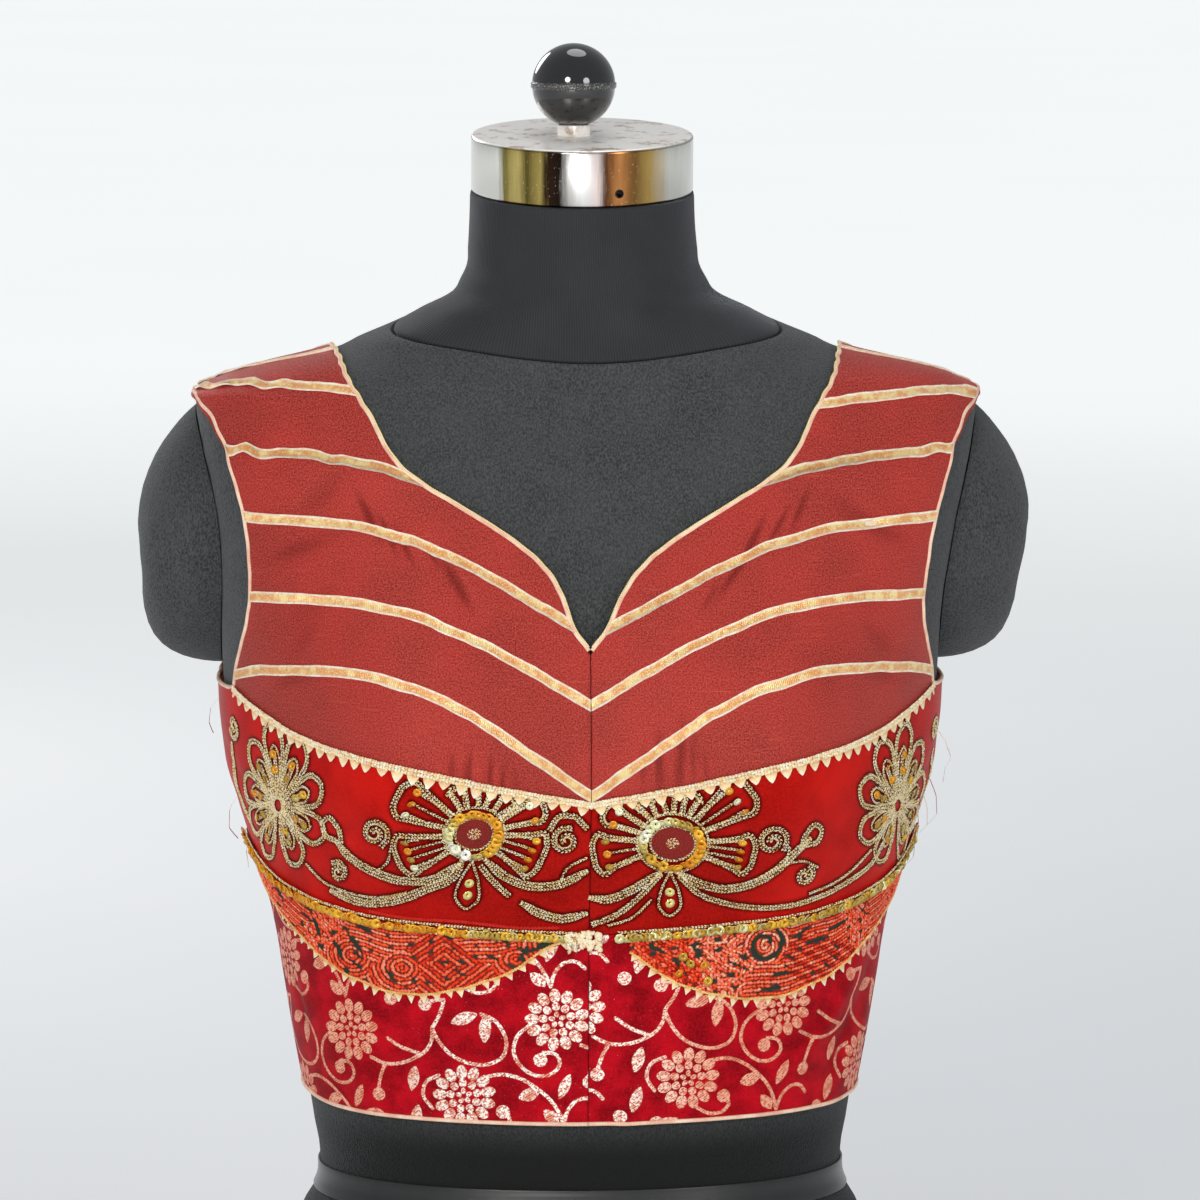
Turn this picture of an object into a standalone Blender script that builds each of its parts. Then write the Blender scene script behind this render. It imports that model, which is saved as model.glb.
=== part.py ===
"""A sleeveless choli blouse, closed down the centre front, on a limbless dress form.

Heights run up from the flat base of the form. Angles run round the figure in degrees from
the centre front, 90 at a side seam and 180 at the centre back. Sizes are in millimetres
until a mesh is made, in metres, with the wearer's front towards -Y.
"""

import math

import bmesh
import bpy
import numpy as np

MM = 0.001
SIDE_RADIUS, CENTRE_RADIUS = 120.0, 88.0
SHOULDER_LENGTH, SHOULDER_LEVEL = 70.0, 500.0

# Cloth: how thick it is, how far it stands off the form, and the gaps between pieces.
WALL = 1.4
EASE = 1.3
SHOULDER_EASE = 0.9
SEAM_GAP = 0.3
PIPING_GAP = 0.45
LAID_ON_GAP = 0.3
OVER_SEAM_GAP = 0.5

# Trims: each one's width and thickness.
RIBBON_WIDTH, RIBBON_THICK = 5.0, 0.7
PIPING_WIDTH, PIPING_THICK = 2.1, 2.0
LACE_WIDTH, LACE_THICK = 6.5, 0.8
CRESCENT_LACE_DROP = 4.4
BRAID_WIDTH, BRAID_THICK = 4.8, 1.0
CRESCENT_THICK = 1.0

# The figure: one row for each level, lowest first.
SECTIONS = (
    # height, half width, front depth, back depth, squareness
    (0.0, 165.0, 108.0, 118.0, 2.3),
    (70.0, 153.0, 102.0, 110.0, 2.3),
    (123.5, 131.5, 90.0, 93.0, 2.2),
    (144.5, 123.3, 85.0, 86.0, 2.15),
    (165.0, 125.9, 86.0, 86.0, 2.15),
    (208.0, 133.2, 91.0, 89.0, 2.2),
    (238.0, 138.0, 94.0, 92.0, 2.2),
    (262.0, 142.0, 96.0, 94.0, 2.2),
    (278.0, 146.0, 98.0, 96.0, 2.25),
    (321.0, 159.0, 102.0, 102.0, 2.35),
    (345.0, 165.0, 102.5, 105.0, 2.4),
    (375.0, 167.5, 101.0, 107.0, 2.5),
    (410.0, 169.0, 96.0, 106.0, 2.8),
    (440.0, 172.0, 90.0, 103.0, 3.0),
    (470.0, 177.0, 82.0, 97.0, 3.0),
    (490.0, 180.5, 75.0, 89.0, 2.8),
    (507.7, 182.5, 67.0, 79.0, 2.3),
    (514.2, 172.5, 64.5, 75.0, 2.2),
    (520.3, 155.0, 62.0, 72.0, 2.2),
    (529.9, 118.0, 58.5, 67.5, 2.2),
    (534.7, 108.0, 57.0, 65.0, 2.2),
    (548.8, 77.0, 55.5, 60.0, 2.05),
    (561.8, 58.0, 54.5, 56.5, 2.0),
    (577.0, 53.6, 53.2, 54.0, 2.0),
    (603.5, 52.2, 52.2, 52.2, 2.0),
)
BUST_SIDE, BUST_HEIGHT, BUST_DEPTH = 82.0, 350.0, 36.0
BUST_SPREAD, BUST_RISE, BUST_DROP = 38.0, 60.0, 40.0
CLOTH_BRIDGES = 0.5
FORM_BRIDGES = 0.3
FORM_BUST_SHARE = 0.93
NECK_TILT, NECK_TILT_FROM, NECK_TOP = 0.10, 555.0, 603.5

# How far the figure stands to its left, at each height.
SWAY = ((0.0, 0.0), (395.0, 0.0), (440.0, 2.0), (480.0, 3.0), (520.0, 3.0), (565.0, 1.6),
        (600.0, 1.0), (700.0, 1.0))

# Seams and edges, as (angle, height) points on the wearer's left half.
# The neckline runs on past the centre front, where the two halves meet in its V.
NECKLINE = ((94.5, 529.6), (88.5, 530.6), (82.5, 530.0), (67.0, 521.0), (61.7, 510.3), (55.5, 496.5),
            (51.0, 485.5), (46.0, 476.8), (39.0, 467.8), (27.0, 454.8), (19.5, 446.2), (14.0, 438.4),
            (9.0, 428.0), (6.5, 420.0), (4.2, 411.0), (1.0, 404.0), (-2.6, 396.0))
ARMHOLE = ((99.5, 507.0), (95.5, 508.3), (91.5, 508.9), (87.5, 508.6), (83.5, 504.5), (78.0, 494.0),
           (74.5, 480.5), (72.5, 467.0), (70.8, 452.0), (69.8, 438.0), (69.3, 425.0), (70.0, 413.0),
           (71.8, 400.0), (74.5, 386.0), (75.7, 377.0))
SHOULDER_SEAM = ((94.5, 529.6), (96.0, 522.0), (98.0, 515.0), (99.5, 507.5))
YOKE_HEM = ((0.0, 332.6), (20.0, 339.4), (32.0, 345.2), (41.5, 349.7), (50.5, 353.7),
            (60.0, 359.2), (65.5, 365.0), (70.5, 370.6), (75.7, 377.0))
RIBBONS = (
    ("shoulder", ((82.5, 530.0), (86.5, 524.5), (91.0, 517.0), (95.5, 508.6))),
    ("one", {"l": ((60.2, 507.3), (70.0, 509.9), (78.0, 510.8), (86.3, 507.3)),
             "r": ((63.0, 513.2), (70.0, 515.0), (78.0, 514.6), (88.5, 509.9))}),
    ("two", {"l": ((46.0, 475.6), (56.5, 481.8), (66.0, 484.8), (76.2, 487.2)),
             "r": ((46.0, 476.0), (56.5, 483.0), (66.0, 486.0), (76.2, 487.5))}),
    ("three", {"l": ((4.2, 409.8), (19.5, 423.6), (36.0, 439.4), (47.0, 448.8), (57.5, 454.4), (71.3, 456.6)),
               "r": ((4.2, 411.0), (19.5, 425.5), (36.0, 441.5), (47.0, 450.8), (57.5, 456.3), (71.3, 457.5))}),
    ("four", ((0.0, 377.0), (19.0, 396.0), (35.5, 411.3), (46.5, 419.6), (58.0, 422.4),
              (69.4, 421.5))),
    ("five", ((0.0, 336.8), (19.5, 361.0), (32.0, 377.0), (43.0, 387.0), (52.0, 391.0),
              (64.0, 389.0), (75.3, 382.5))),
)
BAND_HEM = ((0.0, 269.0), (20.5, 271.0), (37.0, 273.5), (50.5, 275.5), (58.0, 278.0),
            (69.0, 284.0), (75.5, 289.5), (82.5, 298.0), (90.0, 305.0))
CRESCENT_HEMS = {
    "l": ((2.0, 267.0), (9.7, 262.0), (19.7, 249.5), (27.5, 242.5), (35.0, 238.5), (45.0, 235.8),
          (56.7, 240.5), (63.7, 246.5), (69.0, 254.5), (78.0, 268.5), (84.0, 280.0), (88.5, 294.0)),
    "r": ((2.0, 268.0), (9.7, 264.5), (19.7, 252.5), (27.5, 246.5), (35.0, 242.0), (45.0, 239.0),
          (56.7, 243.5), (63.7, 250.0), (69.0, 258.0), (78.0, 272.0), (84.0, 283.0), (88.5, 295.0)),
}
HEM_HEIGHT = 178.2
UNDERARM_HEIGHT = 377.0

# The back, from the shoulder seam down: (angle, height) points as above.
BACK_NECKLINE = ((94.5, 529.6), (113.0, 518.0), (126.0, 502.0), (141.0, 484.0), (160.0, 468.0),
                 (180.0, 462.0))
BACK_ARMHOLE = ((99.5, 507.5), (107.0, 495.0), (113.0, 478.0), (116.5, 458.0), (117.5, 438.0),
                (116.0, 418.0), (111.5, 398.0), (104.0, 384.0), (96.0, 378.0))
BACK_BAND_HEM = ((90.0, 305.0), (120.0, 299.0), (180.0, 296.0))

# The largest folds, which only ever lift the cloth off the form.
FOLDS = (
    # signed angle, height, lean, half width, half length, lift
    (62.0, 222.0, 50.0, 9.0, 34.0, 1.8),
    (74.0, 204.0, 62.0, 8.0, 26.0, 1.4),
    (-66.0, 214.0, -58.0, 9.0, 30.0, 1.3),
    (12.0, 196.0, 82.0, 7.0, 22.0, 1.2),
    (-150.0, 215.0, 75.0, 10.0, 36.0, 1.6),
    (162.0, 208.0, 85.0, 9.0, 30.0, 1.4),
    (128.0, 232.0, -60.0, 10.0, 34.0, 1.5),
)

# How each piece is divided: the columns across it, and the rows down it.
YOKE_COLUMNS, BAND_EXTRA_COLUMNS, BACK_YOKE_COLUMNS, BACK_COLUMNS = 11, 2, 11, 20
ROWS_BETWEEN = {"shoulder": 1, "one": 3, "two": 2, "three": 3, "four": 2, "five": 1, "hem": 1}
BAND_ROWS, CRESCENT_ROWS, LOWER_ROWS = 5, 3, 4
BACK_NECK_ROWS, BACK_LOW_ROWS, BACK_BAND_ROWS, BACK_LOWER_ROWS = 9, 3, 4, 4
BACK_NECK_SHARE, BACK_CLOSER_ROWS, BACK_SEAM_FADE = 0.62, 1.5, 4.0
EDGE_POINTS, LINE_POINTS, DRAWN_ON = 41, 34, 3.0
CRESCENT_FIRST_COLUMN = {"l": 2, "r": 0}
CRESCENT_LEAST = 2.0
LACE_ABOVE, LACE_TOP_SHARE, LACE_END_ANGLE = 1.0, 0.07, 0.35

# The form's own pieces.
FORM_SEGMENTS = 44
LEVEL_STEP, SIDE_STEP, LEVEL_CLEARANCE = 22.0, 18.0, 5.0
WAIST_BAND_LEVELS = (133.2, 146.2)
WAIST_BAND_THICK = 0.8
ARM_CAP_ANGLE, ARM_CAP_REACH = 96.0, 16.0
ARM_CAP_HEIGHT, ARM_CAP_RISE, ARM_CAP_DEPTH, ARM_CAP_GAP = 442.5, 61.5, 36.5, 0.6
ARM_CAP_INNER_RINGS = (0.3, 0.55, 0.8)
ARM_CAP_OUTER_RINGS = (1.0, 0.98, 0.91, 0.78, 0.6, 0.38, 0.15)
NECK_CAP_RADIUS, NECK_CAP_TALL = 51.8, 26.5
KNOB_SIDE, KNOB_HEIGHT, KNOB_RADIUS = -4.0, 652.9, 19.5
KNOB_RING_RADIUS, KNOB_RING_TALL = 20.0, 2.6
COLLAR_RADIUS, COLLAR_TOP = 8.7, 634.5


def clear_scene():
    for thing in list(bpy.data.objects):
        bpy.data.objects.remove(thing, do_unlink=True)


def material(name, colour, roughness, metallic=0.0):
    made = bpy.data.materials.new(name)
    made.use_nodes = True
    shader = made.node_tree.nodes["Principled BSDF"]
    shader.inputs["Base Color"].default_value = (*colour, 1.0)
    shader.inputs["Roughness"].default_value = roughness
    shader.inputs["Metallic"].default_value = metallic
    made.diffuse_color = (*colour, 1.0)
    return made


def smooth(xs, ys, at):
    """A smooth curve through the points, read at each value of at."""
    xs, ys, at = (np.asarray(values, float) for values in (xs, ys, at))
    steps = np.diff(xs)
    slopes = np.diff(ys) / steps
    bends = np.empty_like(ys)
    bends[0], bends[-1] = slopes[0], slopes[-1]
    before, after = slopes[:-1], slopes[1:]
    same_way = before * after > 0
    mean = 2 * before * after / np.where(same_way, before + after, 1.0)
    bends[1:-1] = np.where(same_way, mean, 0.0)
    gap = np.clip(np.searchsorted(xs, at, side="right") - 1, 0, len(steps) - 1)
    share = (at - xs[gap]) / steps[gap]
    left = ys[gap] + share * steps[gap] * bends[gap]
    right = ys[gap + 1] - (1 - share) * steps[gap] * bends[gap + 1]
    blend = share * share * (3 - 2 * share)
    return left + (right - left) * blend


def along(points, shares):
    """Angles and heights at these shares of the way along a line of (angle, height) points."""
    angles, heights = np.array(points).T
    lengths = np.hypot(np.diff(angles) * math.radians(1) * SIDE_RADIUS, np.diff(heights))
    marks = np.concatenate([[0.0], np.cumsum(lengths)]) / lengths.sum()
    return smooth(marks, angles, shares), smooth(marks, heights, shares)


def angle_at(points, heights):
    """The angle of an edge line where it crosses each height, below the shoulder."""
    angles, levels = np.array([point for point in points[::-1] if point[1] < SHOULDER_LEVEL]).T
    return smooth(levels, angles, np.clip(heights, levels[0], levels[-1]))


def standing(points):
    """Points with the figure's sway to its left."""
    heights, sway = np.array(SWAY).T
    return points + smooth(heights, sway, points[..., 2])[..., None] * np.array([1.0, 0.0, 0.0])


def height_at(points, angles):
    """The height of a line that runs round the body, at each angle."""
    stations, heights = np.array(points).T
    return smooth(stations, heights, angles)


def bust(side, height, share, bridges):
    """How far the bust stands out, with the dip between the cups partly bridged."""
    rise = height - BUST_HEIGHT
    fade = np.exp(-0.5 * (rise / np.where(rise > 0, BUST_RISE, BUST_DROP)) ** 2)

    def cups(x):
        return np.exp(-0.5 * ((x - BUST_SIDE) / BUST_SPREAD) ** 2) + np.exp(
            -0.5 * ((x + BUST_SIDE) / BUST_SPREAD) ** 2)

    full, here = cups(BUST_SIDE), cups(side)
    filled = np.where(np.abs(side) < BUST_SIDE, here + bridges * (full - here), here)
    return BUST_DEPTH * share * fade * filled


def body_point(angle, height, share=1.0, bridges=CLOTH_BRIDGES):
    """A point on the figure."""
    angle, height = np.broadcast_arrays(np.radians(angle), np.asarray(height, float))
    levels, *columns = np.array(SECTIONS).T
    wide, front, back, square = (smooth(levels, column, height) for column in columns)
    deep = np.where(np.cos(angle) > 0, front, back)
    reach = (np.abs(np.sin(angle) / wide) ** square + np.abs(np.cos(angle) / deep) ** square) ** (-1 / square)
    side = reach * np.sin(angle)
    facing = np.clip(2.2 * np.cos(angle), 0, 1)
    facing = facing * facing * (3 - 2 * facing)
    depth = -reach * np.cos(angle) - bust(side, height, share, bridges) * facing
    tilt = NECK_TILT * np.clip((height - NECK_TILT_FROM) / (NECK_TOP - NECK_TILT_FROM), 0, 1)
    return np.stack([side, depth, height + tilt * depth], -1)


def directions(angle, height):
    """The surface's two directions, per degree and per millimetre of height, and its normal."""
    turn, lift = 0.02, 0.05
    round_body = (body_point(angle + turn, height) - body_point(angle - turn, height)) / (2 * turn)
    up_body = (body_point(angle, height + lift) - body_point(angle, height - lift)) / (2 * lift)
    normal = np.cross(round_body, up_body)
    return round_body, up_body, normal / np.linalg.norm(normal, axis=-1, keepdims=True)


def folds(angle, height):
    lifted = 0.0
    for at_angle, at_height, lean, half_width, half_length, lift in FOLDS:
        turn = (np.asarray(angle) - at_angle + 180) % 360 - 180
        across, up = np.radians(turn) * SIDE_RADIUS, height - at_height
        cos, sin = math.cos(math.radians(lean)), math.sin(math.radians(lean))
        run, off = across * cos + up * sin, up * cos - across * sin
        lifted = lifted + lift * np.exp(-((run / half_length) ** 2) - (off / half_width) ** 2)
    return lifted


def cloth_point(angle, height, lift):
    """A point this far out from the cloth's inner face."""
    normal = directions(angle, height)[2]
    low = np.clip((505.0 - height) / 30.0, 0, 1)
    stand_off = SHOULDER_EASE + (EASE - SHOULDER_EASE) * low + folds(angle, height) + lift
    return body_point(angle, height) + normal * stand_off[..., None]


def moved_across(angle, height, distance, closed=False):
    """The same line, moved sideways over the surface: down, on a line that runs away from the front."""
    round_body, up_body, normal = directions(angle, height)
    points = body_point(angle, height)
    if closed:
        run = np.roll(points, -1, axis=0) - np.roll(points, 1, axis=0)
    else:
        run = np.gradient(points, axis=0)
    side = np.cross(run, normal)
    side *= distance / np.linalg.norm(side, axis=-1, keepdims=True)
    rr, ru, uu = ((a * b).sum(-1) for a, b in (
        (round_body, round_body), (round_body, up_body), (up_body, up_body)))
    sr, su = (side * round_body).sum(-1), (side * up_body).sum(-1)
    spread = rr * uu - ru * ru
    return angle + (sr * uu - su * ru) / spread, height + (su * rr - sr * ru) / spread


def add_object(name, builder, surface):
    bmesh.ops.recalc_face_normals(builder, faces=builder.faces)
    mesh = bpy.data.meshes.new(name)
    builder.to_mesh(mesh)
    builder.free()
    mesh.shade_smooth()
    mesh.set_sharp_from_angle(angle=math.radians(40))
    mesh.materials.append(surface)
    made = bpy.data.objects.new(name, mesh)
    bpy.context.scene.collection.objects.link(made)
    return made


def split_quad(builder, a, b, c, d):
    builder.faces.new((a, b, c))
    builder.faces.new((a, c, d))


def wall(name, inner, outer, surface, closed=False, folded_last=False):
    """A closed piece between two grids of points, rows by columns.

    With closed, the last column joins the first. With folded_last, the grid is mirrored in
    the plane x = 0, and the points of its last column on that plane join the two halves.
    """
    builder = bmesh.new()
    halves = (1, -1) if folded_last else (1,)
    for side in halves:
        flip = np.array([side, 1, 1])
        low, high = ([[builder.verts.new(point) for point in row] for row in standing(grid * flip) * MM]
                     for grid in (inner, outer))
        rows, columns = len(low), len(low[0])
        last = columns if closed else columns - 1
        for r in range(rows - 1):
            for c in range(last):
                n = (c + 1) % columns
                for grid in (low, high):
                    split_quad(builder, grid[r][c], grid[r][n], grid[r + 1][n], grid[r + 1][c])
        for r in (0, rows - 1):
            for c in range(last):
                n = (c + 1) % columns
                split_quad(builder, low[r][c], low[r][n], high[r][n], high[r][c])
        for c in () if closed else (0, columns - 1):
            for r in range(rows - 1):
                on_fold = abs(inner[r, c, 0]) < 1e-6 and abs(inner[r + 1, c, 0]) < 1e-6
                if not (folded_last and on_fold):
                    split_quad(builder, low[r][c], low[r + 1][c], high[r + 1][c], high[r][c])
    if folded_last:
        bmesh.ops.remove_doubles(builder, verts=builder.verts, dist=1e-6)
    return add_object(name, builder, surface)


def cloth(name, angles, heights, surface, lift=0.0, thick=WALL, **shape):
    inner = cloth_point(angles, heights, lift)
    outer = cloth_point(angles, heights, lift + thick)
    return wall(name, inner, outer, surface, **shape)


def rings(name, grid, surface):
    """A solid of closed rings with flat ends."""
    builder = bmesh.new()
    levels = [[builder.verts.new(point) for point in ring] for ring in standing(grid) * MM]
    for low, high in zip(levels, levels[1:]):
        for c in range(len(low)):
            n = (c + 1) % len(low)
            split_quad(builder, low[c], low[n], high[n], high[c])
    builder.faces.new(levels[0])
    builder.faces.new(levels[-1])
    return add_object(name, builder, surface)


# Front yoke. Its rows follow the ribbons, and its columns run from neckline to armhole.
CENTRE_ANGLE = math.degrees(0.5 * SEAM_GAP / CENTRE_RADIUS)
SIDE_ANGLE = 90.0 - math.degrees(0.5 * SEAM_GAP / SIDE_RADIUS)
EDGE_SETBACK = PIPING_WIDTH + PIPING_GAP
HEM_CUT = HEM_HEIGHT + EDGE_SETBACK
SHARES = np.linspace(0.0, 1.0, YOKE_COLUMNS + 1)


def cut_edge(points, distance):
    """An edge line with the width of its piping taken off."""
    angles, heights = along(points, np.linspace(0.0, 1.0, EDGE_POINTS))
    return np.stack(moved_across(angles, heights, distance), -1)


NECK_CUT = cut_edge(NECKLINE, -EDGE_SETBACK)
ARMHOLE_CUT = cut_edge(ARMHOLE, EDGE_SETBACK)
UNDERARM_CUT = UNDERARM_HEIGHT - EDGE_SETBACK
SHOULDER_INSET = EDGE_SETBACK / SHOULDER_LENGTH


def point_of_v():
    """The height at which the cut neckline meets the centre front."""
    heights = np.linspace(NECK_CUT[-1, 1], 415.0, 401)
    return float(heights[angle_at(NECK_CUT, heights) > CENTRE_ANGLE][0])


def yoke_corner():
    """The angle at which the yoke's hem meets the armhole."""
    angles = np.linspace(65.0, 80.0, 301)
    inside = angles < angle_at(ARMHOLE_CUT, height_at(YOKE_HEM, np.clip(angles, 0, YOKE_HEM[-1][0])))
    return float(angles[inside][-1])


V_HEIGHT = point_of_v()
CORNER_ANGLE = yoke_corner()


def shoulder_seam(shares, side_of_seam):
    """The shoulder seam, half a gap to the front (1) or to the back (-1) of its line."""
    outward = 1 if shares[-1] > shares[0] else -1
    return moved_across(*along(SHOULDER_SEAM, shares), outward * side_of_seam * 0.5 * SEAM_GAP)


INNER_EDGE = np.vstack([NECK_CUT[NECK_CUT[:, 1] > V_HEIGHT], (CENTRE_ANGLE, V_HEIGHT), (CENTRE_ANGLE, 300.0)])


def on_edge(edge, angle, height):
    """The nearest point of an edge."""
    points, here = body_point(*edge.T), body_point(angle, height)
    runs = np.diff(points, axis=0)
    shares = np.clip(((here - points[:-1]) * runs).sum(-1) / (runs * runs).sum(-1), 0, 1)
    misses = points[:-1] + runs * shares[:, None] - here
    nearest = np.linalg.norm(misses, axis=-1).argmin()
    return edge[nearest] + (edge[nearest + 1] - edge[nearest]) * shares[nearest]


def to_edges(angles, heights):
    """A row with its ends slid onto the neckline or centre front, and onto the armhole."""
    start = on_edge(INNER_EDGE, angles[0], heights[0])
    end = on_edge(ARMHOLE_CUT, angles[-1], heights[-1])
    return tuple(line + (1 - SHARES) * (first - line[0]) + SHARES * (last - line[-1])
                 for line, first, last in zip((angles, heights), start, end))


def crossing(line, edge):
    """Where a line crosses an edge, counted in points along the line, or None."""
    start, step = line[:-1, None], np.diff(line, axis=0)[:, None]
    edge_start, edge_step = edge[None, :-1], np.diff(edge, axis=0)[None]
    apart = edge_start - start
    spread = step[..., 0] * edge_step[..., 1] - step[..., 1] * edge_step[..., 0]
    on_line = (apart[..., 0] * edge_step[..., 1] - apart[..., 1] * edge_step[..., 0]) / spread
    on_edge_too = (apart[..., 0] * step[..., 1] - apart[..., 1] * step[..., 0]) / spread
    hits = np.argwhere((on_line >= 0) & (on_line < 1) & (on_edge_too >= 0) & (on_edge_too <= 1))
    return [number + on_line[number, other] for number, other in hits]


def trimmed(angles, heights):
    """A line drawn on at both ends and cut off at the yoke's edges, as a row."""
    line = np.stack([angles, heights], -1)
    line = np.vstack([line[0] + DRAWN_ON * (line[0] - line[1]), line,
                      line[-1] + DRAWN_ON * (line[-1] - line[-2])])
    middle = 0.5 * (len(line) - 1)
    starts = [mark for mark in crossing(line, INNER_EDGE) if mark < middle]
    ends = [mark for mark in crossing(line, ARMHOLE_CUT) if mark > middle]
    first = starts[-1] if starts else 1.0
    last = ends[0] if ends else len(line) - 2.0
    marks = first + (last - first) * SHARES
    numbers = np.arange(len(line))
    row = np.interp(marks, numbers, line[:, 0]), np.interp(marks, numbers, line[:, 1])
    return row if starts and ends else to_edges(*row)


def rows_between(above, following, count):
    """Rows that turn one line into the next, with one that ends at the point of the V."""
    starts = np.linspace(above[1][0], following[1][0], count + 2)
    if above[1][0] > V_HEIGHT > following[1][0]:
        starts[1:] = np.linspace(V_HEIGHT, following[1][0], count + 1)
    rows = []
    for step in range(1, count + 1):
        share = step / (count + 1)
        angles, heights = ((1 - share) * a + share * b for a, b in zip(above, following))
        rows.append(to_edges(angles, heights + (1 - SHARES) * (starts[step] - heights[0])))
    return rows


def yoke_grid(side_name):
    """The yoke's rows of angles and heights, and the first row of each ribbon by its name."""
    rows = [shoulder_seam(SHOULDER_INSET + (1 - 2 * SHOULDER_INSET) * SHARES, 1)]
    ribbon_rows = {}
    for name, points in RIBBONS:
        if isinstance(points, dict):
            points = points[side_name]
        line = along(points, np.linspace(0.0, 1.0, LINE_POINTS))
        top, bottom = (trimmed(*moved_across(*line, half * RIBBON_WIDTH)) for half in (-0.5, 0.5))
        rows += rows_between(rows[-1], top, ROWS_BETWEEN[name])
        ribbon_rows[name] = len(rows)
        rows += [top, bottom]
    hem_angles = np.linspace(CENTRE_ANGLE, CORNER_ANGLE, YOKE_COLUMNS + 1)
    hem = hem_angles, height_at(YOKE_HEM, hem_angles) + 0.5 * SEAM_GAP
    rows += rows_between(rows[-1], hem, ROWS_BETWEEN["hem"]) + [hem]
    angles, heights = (np.array(values) for values in zip(*rows))
    return angles, heights, ribbon_rows


# Front band and lower front. Their columns carry on the yoke's columns to the side seam.
def front_columns():
    under_arm = np.linspace(CORNER_ANGLE, SIDE_ANGLE, BAND_EXTRA_COLUMNS + 1)[1:]
    return np.concatenate([np.linspace(CENTRE_ANGLE, CORNER_ANGLE, YOKE_COLUMNS + 1), under_arm])


def band_top(angles):
    corner_height = height_at(YOKE_HEM, CORNER_ANGLE)
    under_arm = np.interp(angles, (CORNER_ANGLE, SIDE_ANGLE), (corner_height, UNDERARM_CUT))
    return np.where(angles > CORNER_ANGLE, under_arm, height_at(YOKE_HEM, np.minimum(angles, CORNER_ANGLE)))


def between(top, bottom, count):
    """Rows of heights from one line down to another."""
    share = np.linspace(0.0, 1.0, count + 1)[:, None]
    return top + (bottom - top) * share


def crescent_hem(side_name, angles):
    hem = CRESCENT_HEMS[side_name]
    line = height_at(hem, np.clip(angles, hem[0][0], hem[-1][0]))
    return np.minimum(line, height_at(BAND_HEM, angles) - CRESCENT_LEAST)


def band_grid():
    columns = front_columns()
    heights = between(band_top(columns) - 0.5 * SEAM_GAP,
                      height_at(BAND_HEM, columns) + 0.5 * SEAM_GAP, BAND_ROWS)
    return np.broadcast_to(columns, heights.shape), heights


def lower_grid(side_name):
    columns = front_columns()
    top = height_at(BAND_HEM, columns) - 0.5 * SEAM_GAP
    turn = crescent_hem(side_name, columns)
    steepness = np.gradient(turn, np.radians(columns) * SIDE_RADIUS)
    lace_hem = turn - CRESCENT_LACE_DROP * np.hypot(1.0, steepness)
    heights = np.concatenate([between(top, turn, CRESCENT_ROWS), lace_hem[None],
                              between(lace_hem, HEM_CUT + 0 * turn, LOWER_ROWS)[1:]])
    return np.broadcast_to(columns, heights.shape), heights


# Back. The yoke is half a panel that is mirrored, and the rest goes right round.
def back_yoke_grid():
    """Rows from the shoulder seam down, each from the armhole to the neckline or centre back."""
    share = np.linspace(0.0, 1.0, BACK_YOKE_COLUMNS + 1)
    seam = shoulder_seam(1 - SHOULDER_INSET - (1 - 2 * SHOULDER_INSET) * share, -1)
    neck_steps = np.linspace(0.0, 1.0, BACK_NECK_ROWS + 1) ** BACK_CLOSER_ROWS
    armhole_steps = np.concatenate([BACK_NECK_SHARE * neck_steps,
                                    np.linspace(BACK_NECK_SHARE, 1, BACK_LOW_ROWS + 1)[1:]])
    neck = cut_edge(BACK_NECKLINE, EDGE_SETBACK)
    neck[-1, 0] = 180.0
    armhole = cut_edge(BACK_ARMHOLE, -EDGE_SETBACK)
    hem_height = UNDERARM_CUT + 0.5 * SEAM_GAP
    armhole[-1, 1] = hem_height
    outer = along(np.vstack([(seam[0][0], seam[1][0]), armhole[4:]]), armhole_steps)
    neck_angles, neck_heights = along(np.vstack([(seam[0][-1], seam[1][-1]), neck[4:]]), neck_steps)
    low_heights = np.linspace(neck_heights[-1], hem_height, BACK_LOW_ROWS + 1)[1:]
    inner = (np.concatenate([neck_angles, np.full(BACK_LOW_ROWS, 180.0)]),
             np.concatenate([neck_heights, low_heights]))
    angles, heights = (a[:, None] * (1 - share) + b[:, None] * share for a, b in zip(outer, inner))
    fade = np.clip(1 - np.arange(len(angles)) / BACK_SEAM_FADE, 0, 1)[:, None]
    return angles + fade * (seam[0] - angles[0]), heights + fade * (seam[1] - heights[0])


def back_grid(top, bottom, rows):
    columns = np.linspace(180.0 - SIDE_ANGLE, 180.0 + SIDE_ANGLE, BACK_COLUMNS + 1)
    folded = np.where(columns > 180.0, 360.0 - columns, columns)
    heights = between(top(folded), bottom(folded), rows)
    return np.broadcast_to(columns, heights.shape), heights


def back_band_hem(angles):
    return height_at(BACK_BAND_HEM, angles)


# The form: a stuffed torso, two arm caps, a metal neck cap and the knob on top.
def torso_levels():
    """Heights of the torso's rings, closer together where the body turns in quickly."""
    rows = np.array(SECTIONS)
    levels = []
    for low, high in zip(rows, rows[1:]):
        steps = math.ceil(max((high[0] - low[0]) / LEVEL_STEP, abs(high[1] - low[1]) / SIDE_STEP))
        levels.extend(np.linspace(low[0], high[0], steps + 1)[:-1])
    low, high = WAIST_BAND_LEVELS
    clear = [level for level in levels if not low - LEVEL_CLEARANCE < level < high + LEVEL_CLEARANCE]
    return sorted([*clear, low, high, NECK_TOP])


def turn_angles(count):
    return np.arange(count) * 360.0 / count


def form_torso(surface):
    angles, heights = np.meshgrid(turn_angles(FORM_SEGMENTS), torso_levels())
    rings("form_torso", body_point(angles, heights, FORM_BUST_SHARE, FORM_BRIDGES), surface)


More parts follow.
